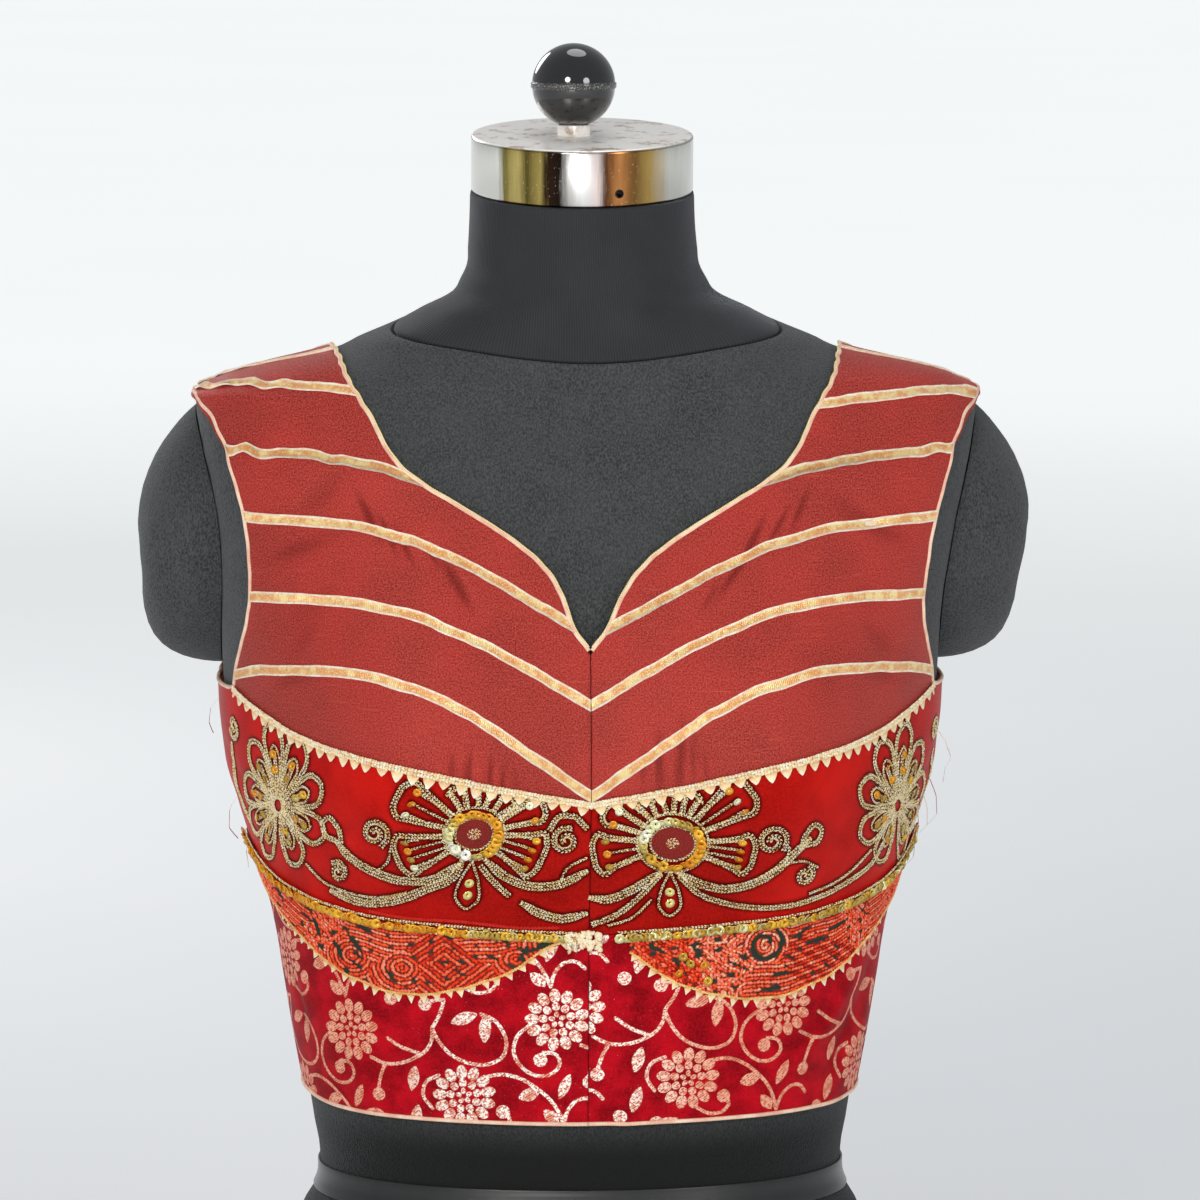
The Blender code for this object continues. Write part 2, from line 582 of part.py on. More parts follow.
def form_waist_band(surface):
    angles, heights = np.meshgrid(turn_angles(FORM_SEGMENTS), WAIST_BAND_LEVELS)
    points, normal = body_point(angles, heights), directions(angles, heights)[2]
    wall("form_waist_band", points + SEAM_GAP * normal,
         points + (SEAM_GAP + WAIST_BAND_THICK) * normal, surface, closed=True)


def arm_cap_point(share, turn, depth):
    """A point of the cap, at a share of the way out from its middle."""
    angle = ARM_CAP_ANGLE + ARM_CAP_REACH * share * np.cos(turn)
    height = ARM_CAP_HEIGHT + ARM_CAP_RISE * share * np.sin(turn)
    power = np.interp(np.sin(turn), (-1, 0, 1), (6.0, 3.2, 2.0))
    root = np.interp(np.sin(turn), (-1, 0, 1), (0.5, 0.5, 1.0))
    seat = body_point(angle, height, FORM_BUST_SHARE, FORM_BRIDGES)
    seat = seat + ARM_CAP_GAP * directions(angle, height)[2]
    out = depth * (1 - share ** power) ** root
    return seat + out[..., None] * np.array([1.0, 0.0, 0.0])


def form_arm_cap(name, side, surface):
    turns = np.radians(turn_angles(24))
    inside = [arm_cap_point(share, turns, 0.0) for share in ARM_CAP_INNER_RINGS]
    outside = [arm_cap_point(share, turns, ARM_CAP_DEPTH) for share in ARM_CAP_OUTER_RINGS]
    rings(name, np.array(inside + outside) * np.array([side, 1, 1]), surface)


def turned(name, profile, centre, surface, segments, lean=0.0, foot_lean=0.0):
    """A turned solid from a profile of (radius, height), lowest first. The foot's ring may slope."""
    turns = np.radians(turn_angles(segments))
    cos, sin = math.cos(lean), math.sin(lean)
    grid = []
    for number, (radius, height) in enumerate(profile):
        x, y = radius * np.sin(turns), -radius * np.cos(turns)
        z = height + (foot_lean * y if number == 0 else 0 * y)
        grid.append(np.stack([x, y * cos - z * sin, z * cos + y * sin], -1) + np.array(centre))
    rings(name, np.array(grid), surface)


def form_top(materials):
    lean = math.atan(NECK_TILT)
    radius, tall = NECK_CAP_RADIUS, NECK_CAP_TALL
    cap = ((radius - 0.8, 0.0), (radius, 0.8), (radius, tall - 1.6), (radius - 0.5, tall - 0.5),
           (radius - 1.6, tall), (9.0, tall))
    turned("form_neck_cap", cap, (0.0, 0.0, NECK_TOP + SEAM_GAP), materials["chrome"], 48, lean)
    cap_top = NECK_TOP + SEAM_GAP + tall * math.cos(lean)
    foot = (KNOB_SIDE, -tall * math.sin(lean), cap_top + SEAM_GAP)
    high = COLLAR_TOP - foot[2]
    collar = ((COLLAR_RADIUS - 0.5, 0.0), (COLLAR_RADIUS, 0.6), (COLLAR_RADIUS, high - 0.6), (7.6, high))
    turned("form_knob_collar", collar, foot, materials["chrome"], 6, foot_lean=NECK_TILT)
    edge = 0.5 * KNOB_RING_TALL
    foot_angle = math.asin((COLLAR_TOP + SEAM_GAP - KNOB_HEIGHT) / KNOB_RADIUS)
    ring_angle = math.asin(edge / KNOB_RADIUS)
    below, above = np.linspace(foot_angle, -ring_angle, 6), np.linspace(ring_angle, math.radians(82), 7)
    lower, upper = ([(KNOB_RADIUS * math.cos(a), KNOB_RADIUS * math.sin(a)) for a in half]
                    for half in (below, above))
    profile = [*lower, (KNOB_RING_RADIUS, -edge), (KNOB_RING_RADIUS, edge), *upper]
    ball = [(radius, KNOB_HEIGHT + height) for radius, height in profile]
    turned("form_knob", ball, (KNOB_SIDE, foot[1], 0.0), materials["knob"], 24)


# The blouse, piece by piece. Each side is cut the same and then turned to its own side.
SIDES = (("l", 1.0), ("r", -1.0))


def yoke_and_ribbons(side_name, side, materials):
    angles, heights, ribbon_rows = yoke_grid(side_name)
    cloth(f"yoke_{side_name}", side * angles, heights, materials["maroon"])
    for name, row in ribbon_rows.items():
        cloth(f"ribbon_{name}_{side_name}", side * angles[row:row + 2], heights[row:row + 2],
              materials["gold"], WALL + LAID_ON_GAP, RIBBON_THICK)
    hem = np.append(angles[-1][:-1], CORNER_ANGLE - LACE_END_ANGLE), heights[-1] - 0.5 * SEAM_GAP
    lace = np.array([hem[1] + LACE_ABOVE, hem[1] + LACE_ABOVE - LACE_WIDTH])
    cloth(f"yoke_lace_{side_name}", side * np.broadcast_to(hem[0], lace.shape), lace,
          materials["lace"], WALL + OVER_SEAM_GAP, LACE_THICK)


def band_and_lower(side_name, side, materials):
    angles, heights = band_grid()
    cloth(f"band_{side_name}", side * angles, heights, materials["red"])
    angles, heights = lower_grid(side_name)
    cloth(f"lower_{side_name}", side * angles, heights, materials["brocade"])
    start = CRESCENT_FIRST_COLUMN[side_name]
    columns, top = angles[0, start:], heights[0, start:]
    crescent = slice(0, CRESCENT_ROWS + 1), slice(start, None)
    cloth(f"crescent_{side_name}", side * angles[crescent], heights[crescent],
          materials["crescent"], WALL + LAID_ON_GAP, CRESCENT_THICK)
    braid = np.array([top + 0.5 * BRAID_WIDTH, top - 0.5 * BRAID_WIDTH])
    cloth(f"braid_{side_name}", side * np.broadcast_to(columns, braid.shape), braid, materials["braid"],
          WALL + LAID_ON_GAP + CRESCENT_THICK + OVER_SEAM_GAP, BRAID_THICK)
    edge, lace_hem = heights[CRESCENT_ROWS, start:], heights[CRESCENT_ROWS + 1, start:]
    lace = np.array([edge + (lace_hem - edge) * LACE_TOP_SHARE, lace_hem])
    cloth(f"crescent_lace_{side_name}", side * np.broadcast_to(columns, lace.shape), lace,
          materials["lace"], WALL + OVER_SEAM_GAP, LACE_THICK)


def piping(name, side, angles, heights, surface, closed=False, seam_side=0):
    """A bound edge, beside a cut edge whose bare side is below the line as it runs.

    With seam_side, the line starts at the shoulder seam, and the piping is cut off along it.
    """
    lines = []
    for distance in (PIPING_GAP, PIPING_GAP + PIPING_WIDTH):
        line = moved_across(angles, heights, (seam_side or 1) * distance, closed)
        if seam_side:
            shares = np.array([SHOULDER_INSET - distance / SHOULDER_LENGTH, SHOULDER_INSET])
            end = shoulder_seam(shares, seam_side)
            line[0][0], line[1][0] = end[0][0], end[1][0]
        lines.append(line)
    moved_angles, moved_heights = (np.array(values) for values in zip(*lines))
    if not closed:
        moved_angles = np.clip(moved_angles, CENTRE_ANGLE, 180.0)
    return cloth(name, side * moved_angles, moved_heights, surface, 0.0, PIPING_THICK,
                 closed=closed, folded_last=seam_side < 0)


def pipings(materials):
    back_angles, back_heights = back_yoke_grid()
    under_front = front_columns()[YOKE_COLUMNS + 1:]
    under_back = np.array([180.0 - SIDE_ANGLE, 95.0])
    for side_name, side in SIDES:
        angles, heights, _ = yoke_grid(side_name)
        above_v = heights[:, 0] > V_HEIGHT - 1e-6
        neck = angles[above_v, 0], heights[above_v, 0]
        ring_angles = np.concatenate([angles[:, -1], under_front, under_back, back_angles[::-1, 0]])
        ring_heights = np.concatenate([heights[:, -1], band_top(under_front),
                                       band_top(0 * under_back + SIDE_ANGLE), back_heights[::-1, 0]])
        piping(f"neck_piping_{side_name}", side, *neck, materials["piping"], seam_side=1)
        piping(f"armhole_piping_{side_name}", side, ring_angles[::-1], ring_heights[::-1],
               materials["piping"], closed=True)
    rows = slice(0, BACK_NECK_ROWS + 1)
    piping("neck_piping_back", 1.0, back_angles[rows, -1], back_heights[rows, -1],
           materials["piping"], seam_side=-1)
    front = front_columns()
    back = np.linspace(180.0 - SIDE_ANGLE, 180.0 + SIDE_ANGLE, BACK_COLUMNS + 1)
    round_body = np.concatenate([front, back[1:-1], 360.0 - front[::-1]])
    hem = np.array([HEM_CUT - PIPING_GAP + 0 * round_body, HEM_HEIGHT + 0 * round_body])
    cloth("hem_piping", np.broadcast_to(round_body, hem.shape), hem, materials["piping"], 0.0, PIPING_THICK)


def backs(materials):
    angles, heights = back_yoke_grid()
    cloth("back_yoke", angles, heights, materials["maroon"], folded_last=True)
    angles, heights = back_grid(lambda a: UNDERARM_CUT - 0.5 * SEAM_GAP + 0 * a,
                                lambda a: back_band_hem(a) + 0.5 * SEAM_GAP, BACK_BAND_ROWS)
    cloth("back_band", angles, heights, materials["red"])
    angles, heights = back_grid(lambda a: back_band_hem(a) - 0.5 * SEAM_GAP,
                                lambda a: HEM_CUT + 0 * a, BACK_LOWER_ROWS)
    cloth("back_lower", angles, heights, materials["brocade"])


def main():
    clear_scene()
    jersey = material("black_jersey", (0.035, 0.036, 0.037), 0.85)
    form_materials = {
        "chrome": material("polished_metal", (0.72, 0.70, 0.66), 0.15, 1.0),
        "knob": material("black_knob", (0.012, 0.012, 0.013), 0.12),
    }
    cloth_materials = {
        "maroon": material("maroon_silk", (0.36, 0.035, 0.032), 0.55),
        "red": material("red_satin", (0.55, 0.02, 0.016), 0.42),
        "brocade": material("crimson_brocade", (0.42, 0.012, 0.03), 0.5),
        "crescent": material("orange_embroidery", (0.80, 0.16, 0.07), 0.8),
        "gold": material("gold_ribbon", (0.85, 0.55, 0.26), 0.4, 0.3),
        "lace": material("cream_lace", (0.86, 0.66, 0.40), 0.6),
        "braid": material("sequin_braid", (0.66, 0.46, 0.08), 0.35, 0.5),
        "piping": material("cream_piping", (0.84, 0.60, 0.42), 0.5),
    }
    form_torso(jersey)
    for side_name, side in SIDES:
        form_arm_cap(f"form_arm_cap_{side_name}", side, jersey)
    form_waist_band(material("grey_tape", (0.13, 0.13, 0.13), 0.25))
    form_top(form_materials)
    for side_name, side in SIDES:
        yoke_and_ribbons(side_name, side, cloth_materials)
        band_and_lower(side_name, side, cloth_materials)
    backs(cloth_materials)
    pipings(cloth_materials)


main()
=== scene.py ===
# %% [markdown]
# # A choli blouse on a dress form
# The blouse is sleeveless and closes down the centre front. Its yoke is maroon silk with
# gold ribbons, the band below the bust is embroidered red satin, and the waist is brocade.
# It is worn by a black dress form with a metal neck cap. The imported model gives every
# piece its size and place, and this notebook gives each one its surface. All tables here
# are in millimetres, and a mesh is scaled to metres when it is made.

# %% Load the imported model
import math

import bmesh
import bpy
import numpy as np
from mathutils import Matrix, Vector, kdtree


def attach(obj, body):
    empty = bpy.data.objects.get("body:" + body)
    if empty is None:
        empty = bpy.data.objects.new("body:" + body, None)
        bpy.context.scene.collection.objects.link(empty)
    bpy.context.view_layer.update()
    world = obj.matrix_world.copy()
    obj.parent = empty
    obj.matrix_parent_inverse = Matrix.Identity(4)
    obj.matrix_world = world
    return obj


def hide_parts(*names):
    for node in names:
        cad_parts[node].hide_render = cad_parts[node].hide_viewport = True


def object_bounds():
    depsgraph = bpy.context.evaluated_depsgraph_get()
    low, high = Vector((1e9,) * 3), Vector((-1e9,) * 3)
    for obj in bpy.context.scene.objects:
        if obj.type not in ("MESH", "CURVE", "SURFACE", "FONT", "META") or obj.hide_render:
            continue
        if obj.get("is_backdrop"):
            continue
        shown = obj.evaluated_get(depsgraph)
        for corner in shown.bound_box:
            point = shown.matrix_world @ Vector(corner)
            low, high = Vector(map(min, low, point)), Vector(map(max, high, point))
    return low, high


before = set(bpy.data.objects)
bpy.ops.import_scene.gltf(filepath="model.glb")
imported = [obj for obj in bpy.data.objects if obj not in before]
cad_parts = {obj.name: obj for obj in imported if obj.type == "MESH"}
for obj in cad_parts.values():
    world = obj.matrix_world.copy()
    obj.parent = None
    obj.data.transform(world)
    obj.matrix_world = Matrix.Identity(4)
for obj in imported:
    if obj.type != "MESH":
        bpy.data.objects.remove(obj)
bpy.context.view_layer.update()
MM = 0.001
# %% [markdown]
# ## Camera, floor and light
# The camera stands three metres off and a little above the blouse, so that a long lens
# flattens the figure as in a catalogue. The floor is one very large pale disc: seen from so
# low it fills the picture, so no wall is needed, and the back is lit like the front.

# %% Camera
TARGET = np.array((0.0094, 0.0, 0.411))
DISTANCE, RISE, TURN = 3.3, math.radians(7.0), math.radians(-2.5)
LENS, SENSOR = 210.6, 36.0
lens = bpy.data.cameras.new("front_camera")
lens.lens, lens.sensor_width, lens.clip_start, lens.clip_end = LENS, SENSOR, 0.1, 200.0
camera = bpy.data.objects.new("front_camera", lens)
camera.location = TARGET + DISTANCE * np.array(
    (math.sin(TURN) * math.cos(RISE), -math.cos(TURN) * math.cos(RISE), math.sin(RISE)))
camera.rotation_euler = (math.pi / 2 - RISE, 0.0, TURN)
scene = bpy.context.scene
scene.collection.objects.link(camera)
scene.camera = camera
print("camera at", [round(value, 3) for value in camera.location])

# %% Floor
FLOOR_RADIUS = 60.0
bpy.ops.object.select_all(action="DESELECT")
bpy.ops.mesh.primitive_circle_add(vertices=96, radius=FLOOR_RADIUS, fill_type="NGON")
floor = bpy.context.object
floor.name = "floor"
floor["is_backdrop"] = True
print("floor of", len(floor.data.vertices), "corners")

# %% Light
LAMPS = (
    # name, place, size, watts, tint
    ("key", (-0.9, -2.6, 1.5), 0.7, 27, (1.0, 0.97, 0.93)),
    ("fill", (1.6, -2.4, 1.3), 0.9, 15, (1.0, 0.98, 0.96)),
    ("low", (-0.3, -2.7, 0.1), 0.8, 15, (1.0, 0.98, 0.96)),
    ("top", (0.2, 0.5, 2.6), 1.2, 10, (0.96, 0.98, 1.0)),
    ("back", (-1.4, 2.4, 1.6), 1.2, 20, (1.0, 0.98, 0.96)),
)
LIT_POINT = np.array((0.0, 0.0, 0.4))
scene.view_settings.view_transform = "Standard"
scene.world = bpy.data.worlds.new("studio")
scene.world.use_nodes = True
sky = scene.world.node_tree.nodes["Background"]
sky.inputs["Color"].default_value = (0.93, 0.96, 1.0, 1.0)
sky.inputs["Strength"].default_value = 0.42


def softbox(name, place, size, watts, tint):
    lamp = bpy.data.lights.new(name, "AREA")
    lamp.shape, lamp.size, lamp.energy, lamp.color = "DISK", size, watts, tint
    made = bpy.data.objects.new(name, lamp)
    made.location = place
    x, y, z = LIT_POINT - place
    made.rotation_euler = (math.atan2(math.hypot(x, y), -z), 0.0, math.atan2(-x, y))
    scene.collection.objects.link(made)


for lamp_values in LAMPS:
    softbox(*lamp_values)
print(len(LAMPS), "lamps")
# %% [markdown]
# ## The figure
# Every piece of the blouse lies on one general figure, so the figure is a function and not
# a mesh. A point is named by its angle round the body, 0 at the centre front and 90 at the
# side seam on the wearer's left, and by its height. Rings of varying width, depth and
# squareness give the trunk, and two soft bumps give the bust that the cups are cut for.

# %% The figure's tables
SECTIONS = (
    # height, half width, front depth, back depth, squareness
    (0, 165, 108, 118, 2.3),
    (70, 153, 102, 110, 2.3),
    (123.5, 131.5, 90, 93, 2.2),
    (144.5, 123.3, 85, 86, 2.15),
    (165, 125.9, 86, 86, 2.15),
    (208, 133.2, 91, 89, 2.2),
    (238, 138, 94, 92, 2.2),
    (262, 142, 96, 94, 2.2),
    (278, 146, 98, 96, 2.25),
    (321, 159, 102, 102, 2.35),
    (345, 165, 102.5, 105, 2.4),
    (375, 167.5, 101, 107, 2.5),
    (410, 169, 96, 106, 2.8),
    (440, 172, 90, 103, 3),
    (470, 177, 82, 97, 3),
    (490, 180.5, 75, 89, 2.8),
    (507.7, 182.5, 67, 79, 2.3),
    (514.2, 172.5, 64.5, 75, 2.2),
    (520.3, 155, 62, 72, 2.2),
    (529.9, 118, 58.5, 67.5, 2.2),
    (534.7, 108, 57, 65, 2.2),
    (548.8, 77, 55.5, 60, 2.05),
    (561.8, 58, 54.5, 56.5, 2),
    (577, 53.6, 53.2, 54, 2),
    (603.5, 52.2, 52.2, 52.2, 2),
)
BUST_SIDE, BUST_HEIGHT, BUST_DEPTH = 82.0, 350.0, 36.0
BUST_SPREAD, BUST_RISE, BUST_DROP = 38.0, 60.0, 40.0
# share of the bust's depth, and how far the dip between the cups is bridged
CLOTH, FORM = (1.0, 0.5), (0.93, 0.3)
NECK_TILT, NECK_TILT_FROM, NECK_TOP = 0.10, 555.0, 603.5
SWAY = ((0, 0), (395, 0), (440, 2), (480, 3), (520, 3), (565, 1.6),
        (600, 1), (700, 1))
EASE, SHOULDER_EASE, WALL = 1.3, 0.9, 1.4


# %% Measures of points
def stacked(*columns):
    return np.stack(columns, -1)


def size_of(vectors):
    return np.linalg.norm(vectors, axis=-1)


def unit(vectors):
    return vectors / size_of(vectors)[..., None]


def run_along(points):
    """The distance along a line to each of its points."""
    return np.concatenate([[0.0], np.cumsum(size_of(np.diff(points, axis=0)))])


def leaning(across, up, lean):
    """How far a place lies along a direction that leans so many degrees, and to its left."""
    cos, sin = math.cos(math.radians(lean)), math.sin(math.radians(lean))
    return across * cos + up * sin, up * cos - across * sin


def smooth(xs, ys, at):
    """A smooth curve through the points, read at each value of at."""
    xs, ys, at = (np.asarray(values, float) for values in (xs, ys, at))
    steps = np.diff(xs)
    slopes = np.diff(ys) / steps
    before, after = slopes[:-1], slopes[1:]
    same_way = before * after > 0
    mean = 2 * before * after / np.where(same_way, before + after, 1.0)
    bends = np.concatenate([slopes[:1], np.where(same_way, mean, 0.0), slopes[-1:]])
    gap = np.clip(np.searchsorted(xs, at, side="right") - 1, 0, len(steps) - 1)
    share = (at - xs[gap]) / steps[gap]
    left = ys[gap] + share * steps[gap] * bends[gap]
    right = ys[gap + 1] - (1 - share) * steps[gap] * bends[gap + 1]
    return left + (right - left) * share * share * (3 - 2 * share)


# %% The figure's functions
def bust(side, height, fit):
    """How far the bust stands out, with the dip between the cups partly bridged."""
    share, bridges = fit
    rise = height - BUST_HEIGHT
    fade = np.exp(-0.5 * (rise / np.where(rise > 0, BUST_RISE, BUST_DROP)) ** 2)

    def cups(x):
        return sum(np.exp(-0.5 * ((x + middle) / BUST_SPREAD) ** 2) for middle in (-BUST_SIDE, BUST_SIDE))

    full, here = cups(BUST_SIDE), cups(side)
    filled = np.where(np.abs(side) < BUST_SIDE, here + bridges * (full - here), here)
    return BUST_DEPTH * share * fade * filled


def body_point(angle, height, fit=CLOTH):
    """A point on the figure, before its sway."""
    angle, height = np.broadcast_arrays(np.radians(angle), np.asarray(height, float))
    levels, *columns = np.array(SECTIONS).T
    wide, front, back, square = (smooth(levels, column, height) for column in columns)
    deep = np.where(np.cos(angle) > 0, front, back)
    reach = np.abs(np.sin(angle) / wide) ** square + np.abs(np.cos(angle) / deep) ** square
    reach = reach ** (-1 / square)
    side = reach * np.sin(angle)
    facing = np.clip(2.2 * np.cos(angle), 0, 1)
    facing = facing * facing * (3 - 2 * facing)
    depth = -reach * np.cos(angle) - bust(side, height, fit) * facing
    tilt = NECK_TILT * np.clip((height - NECK_TILT_FROM) / (NECK_TOP - NECK_TILT_FROM), 0, 1)
    return stacked(side, depth, height + tilt * depth)


def tangents(angle, height, fit=CLOTH):
    """How a point moves for a degree round the body and for a millimetre up."""
    round_body, up_body = (body_point(angle + turned, height + lifted, fit)
                           - body_point(angle - turned, height - lifted, fit)
                           for turned, lifted in ((0.02, 0.0), (0.0, 0.05)))
    return round_body / 0.04, up_body / 0.1


def body_normal(angle, height, fit=CLOTH):
    return unit(np.cross(*tangents(angle, height, fit)))


def standing(points):
    """Points with the figure's sway to its left."""
    heights, sway = np.array(SWAY).T
    return points + smooth(heights, sway, points[..., 2])[..., None] * np.array([1.0, 0.0, 0.0])


# %% [markdown]
# ## Measuring along the cloth
# Patterns are drawn flat, in millimetres along the cloth, so that a round flower stays
# round on the side of the body. Arc lengths are added up once at many heights, and the
# table then turns an angle into a distance from the centre front, or a distance back into
# an angle. The wearer's right counts backwards from nought.

# %% Arc lengths
ARC_HEIGHT_STEP, ARC_ANGLE_STEP, ARC_STEP = 2.5, 0.5, 1.0
ARC_HEIGHTS = np.arange(160.0, 546.0, ARC_HEIGHT_STEP)
ARC_ANGLES = np.arange(0.0, 180.5, ARC_ANGLE_STEP)
ring_steps = size_of(np.diff(body_point(ARC_ANGLES[None, :], ARC_HEIGHTS[:, None])[..., :2], axis=1))
ARC_LENGTHS = np.pad(np.cumsum(ring_steps, axis=1), ((0, 0), (1, 0)))
ARC_ANGLE_AT = np.array([np.interp(np.arange(0.0, 330.0, ARC_STEP), lengths, ARC_ANGLES)
                         for lengths in ARC_LENGTHS])


def from_table(table, step, across, height):
    """A value between the four nearest entries of a table, with the sign of across."""
    across, height = np.broadcast_arrays(np.asarray(across, float), np.asarray(height, float))
    row = np.clip((height - ARC_HEIGHTS[0]) / ARC_HEIGHT_STEP, 0, table.shape[0] - 1.001)
    column = np.clip(np.abs(across) / step, 0, table.shape[1] - 1.001)
    r, c = row.astype(int), column.astype(int)
    down, over = row - r, column - c
    near = table[r, c] * (1 - over) + table[r, c + 1] * over
    far = table[r + 1, c] * (1 - over) + table[r + 1, c + 1] * over
    return np.sign(across) * (near * (1 - down) + far * down)


def arc_of(angle, height):
    """Millimetres along the cloth from the centre front."""
    return from_table(ARC_LENGTHS, ARC_ANGLE_STEP, angle, height)


def angle_of(arc, height):
    """The angle at so many millimetres from the centre front."""
    return from_table(ARC_ANGLE_AT, ARC_STEP, arc, height)


print("round the bust:", round(2 * float(arc_of(180.0, 350.0))), "mm")
# %% [markdown]
# ## Folds
# Cloth shows that it is cloth by its folds. Each row below is one soft ridge or trough, with
# its own length, width, depth and lean, so that no two match. The folds lift or sink the
# cloth's outer face, and what is sewn on the cloth reads the same function, so a ribbon rides
# over a fold.

# %% Folds
LARGE_FOLDS = (
    # signed angle, height, lean, half width, half length, lift
    (62, 222, 50, 9, 34, 1.8),
    (74, 204, 62, 8, 26, 1.4),
    (-66, 214, -58, 9, 30, 1.3),
    (12, 196, 82, 7, 22, 1.2),
    (-150, 215, 75, 10, 36, 1.6),
    (162, 208, 85, 9, 30, 1.4),
    (128, 232, -60, 10, 34, 1.5),
)
FOLDS = (
    # arc from the centre front, height, lean, half width, half length, lift
    # the wearer's right yoke: short pleats that run down from the neckline
    (-103, 460, 118, 1.6, 11, -1),
    (-99, 462, 118, 2.4, 12, 0.5),
    (-93.5, 452, 117, 1.4, 9, -0.9),
    (-86, 447, 118, 1.5, 10, -0.8),
    (-82.5, 449, 120, 2.2, 10, 0.5),
    (-74, 444, 122, 1.3, 7, -0.7),
    (-62, 431, 122, 2.2, 13, -1.1),
    (-57.5, 433, 124, 2.6, 12, 0.6),
    (-118, 455, 20, 6, 16, -0.9),
    (-128, 468, 35, 5, 14, -0.7),
    (-140, 444, 18, 4, 16, -1),
    (-137, 437, 22, 5, 14, 0.6),
    (-132, 420, 30, 6, 17, -0.9),
    (-138, 403, 42, 5, 15, -0.9),
    (-126, 398, 48, 6, 13, 0.6),
    (-146, 386, 12, 4, 16, -0.9),
    (-120, 481, 70, 8, 18, -0.6),
    (-64, 351, 92, 2, 8, -0.7),
    (-57, 349, 84, 1.6, 10, -0.9),
    (-52, 350, 88, 2.4, 9, 0.5),
    (-47, 348, 86, 1.5, 9, -0.8),
    (-41, 346, 80, 1.4, 8, -0.7),
    (-35, 344, 96, 1.3, 7, -0.5),
    (-24, 384, 60, 6, 20, -0.5),
    # the wearer's left yoke
    (72, 448, 64, 1.8, 13, -0.9),
    (76, 446, 62, 2.6, 13, 0.5),
    (84, 455, 60, 1.4, 10, -0.8),
    (63, 433, 58, 1.6, 11, -0.7),
    (94, 462, 66, 1.8, 11, -0.7),
    (54, 425, 60, 1.3, 8, -0.6),
    (118, 462, 150, 5, 16, -0.8),
    (136, 452, 160, 4, 17, -0.9),
    (133, 443, 156, 5, 15, 0.6),
    (131, 424, 150, 6, 15, -0.8),
    (140, 404, 146, 5, 15, -0.9),
    (128, 395, 140, 6, 14, 0.6),
    (147, 386, 168, 4, 15, -0.9),
    (24, 350, 88, 1.5, 9, -0.7),
    (31, 352, 92, 1.6, 13, -0.9),
    (36, 353, 94, 2.4, 11, 0.5),
    (41, 355, 86, 1.8, 15, -1),
    (47, 357, 90, 1.3, 12, -0.7),
    (52, 352, 98, 1.5, 8, -0.5),
    (30, 388, 118, 6, 20, -0.5),
    (96, 372, 120, 9, 22, -0.5),
    # the band, pulled a little by its embroidery
    (-118, 318, 40, 5, 20, -0.7),
    (-96, 330, 20, 4, 14, 0.5),
    (-88, 300, 150, 5, 18, -0.6),
    (-150, 330, 70, 4, 18, -0.8),
    (-158, 318, 78, 5, 20, 0.7),
    (104, 333, 160, 5, 16, -0.6),
    (118, 314, 140, 6, 18, -0.7),
    (96, 296, 14, 4, 18, 0.5),
    (152, 330, 108, 4, 18, -0.8),
    (12, 284, 30, 3, 10, -0.5),
    (-16, 288, 160, 3, 10, -0.5),
    # the brocade waist
    (-150, 226, 118, 4, 22, -1.1),
    (-142, 214, 112, 5, 20, 0.7),
    (-118, 205, 100, 5, 16, -0.8),
    (-84, 206, 70, 5, 15, -0.6),
    (-30, 212, 84, 5, 20, -0.6),
    (22, 236, 66, 4, 16, -0.6),
    (70, 210, 76, 5, 16, -0.7),
    (108, 218, 40, 4, 18, -1.1),
    (124, 228, 52, 4.5, 22, 0.8),
    (132, 212, 58, 4, 20, -1.1),
    (150, 236, 70, 5, 20, -0.9),
    (22, 187, 80, 7, 9, 0.9),
    (8, 186, 88, 6, 9, -0.9),
    # the back yoke, drawn down from the shoulders and in from the arms
    (205, 470, 118, 5, 26, -0.9),
    (214, 462, 120, 6, 24, 0.7),
    (228, 452, 128, 4.5, 20, -0.8),
    (-208, 474, 60, 5, 24, -0.9),
    (-219, 458, 56, 5, 26, 0.7),
    (-231, 448, 50, 4.5, 18, -0.8),
    (222, 404, 14, 5, 26, -0.8),
    (236, 396, 8, 6, 24, 0.6),
    (-224, 402, 168, 5, 24, -0.8),
    (-238, 410, 174, 6, 24, 0.6),
    (292, 440, 96, 6, 26, -0.7),
    (-290, 424, 84, 6, 26, -0.7),
    # the back band and waist, where the cloth sinks into the small of the back
    (210, 338, 30, 5, 24, -0.9),
    (196, 326, 36, 6, 20, 0.7),
    (-206, 336, 150, 5, 24, -0.9),
    (-192, 322, 146, 6, 20, 0.7),
    (246, 318, 12, 5, 26, -0.8),
    (-250, 312, 170, 5, 22, -0.8),
    (206, 246, 60, 5, 26, -1),
    (224, 232, 64, 6, 22, 0.8),
    (-204, 242, 122, 5, 26, -1),
    (-222, 228, 118, 6, 20, 0.8),
    (252, 214, 82, 5, 22, -0.9),
    (-248, 206, 96, 5, 20, -0.9),
)


def bumps(rows, across, up):
    lifted = 0.0
    for at_across, at_height, lean, half_width, half_length, lift in rows:
        run, off = leaning(across - at_across, up - at_height, lean)
        lifted = lifted + lift * np.exp(-((run / half_length) ** 2) - (off / half_width) ** 2)
    return lifted


LEAST_CLEARANCE, LEAST_OVER_CLEARANCE = 0.75, 0.6
MM_PER_RADIAN = 120.0


def large_folds(angle, height):
    lifted = 0.0
    for at_angle, *fold in LARGE_FOLDS:
        turned = (np.asarray(angle) - at_angle + 180) % 360 - 180
        lifted = lifted + bumps([(0.0, *fold)], np.radians(turned) * MM_PER_RADIAN, height)
    return lifted


def ease_at(height):
    return SHOULDER_EASE + (EASE - SHOULDER_EASE) * np.clip((505.0 - height) / 30.0, 0, 1)


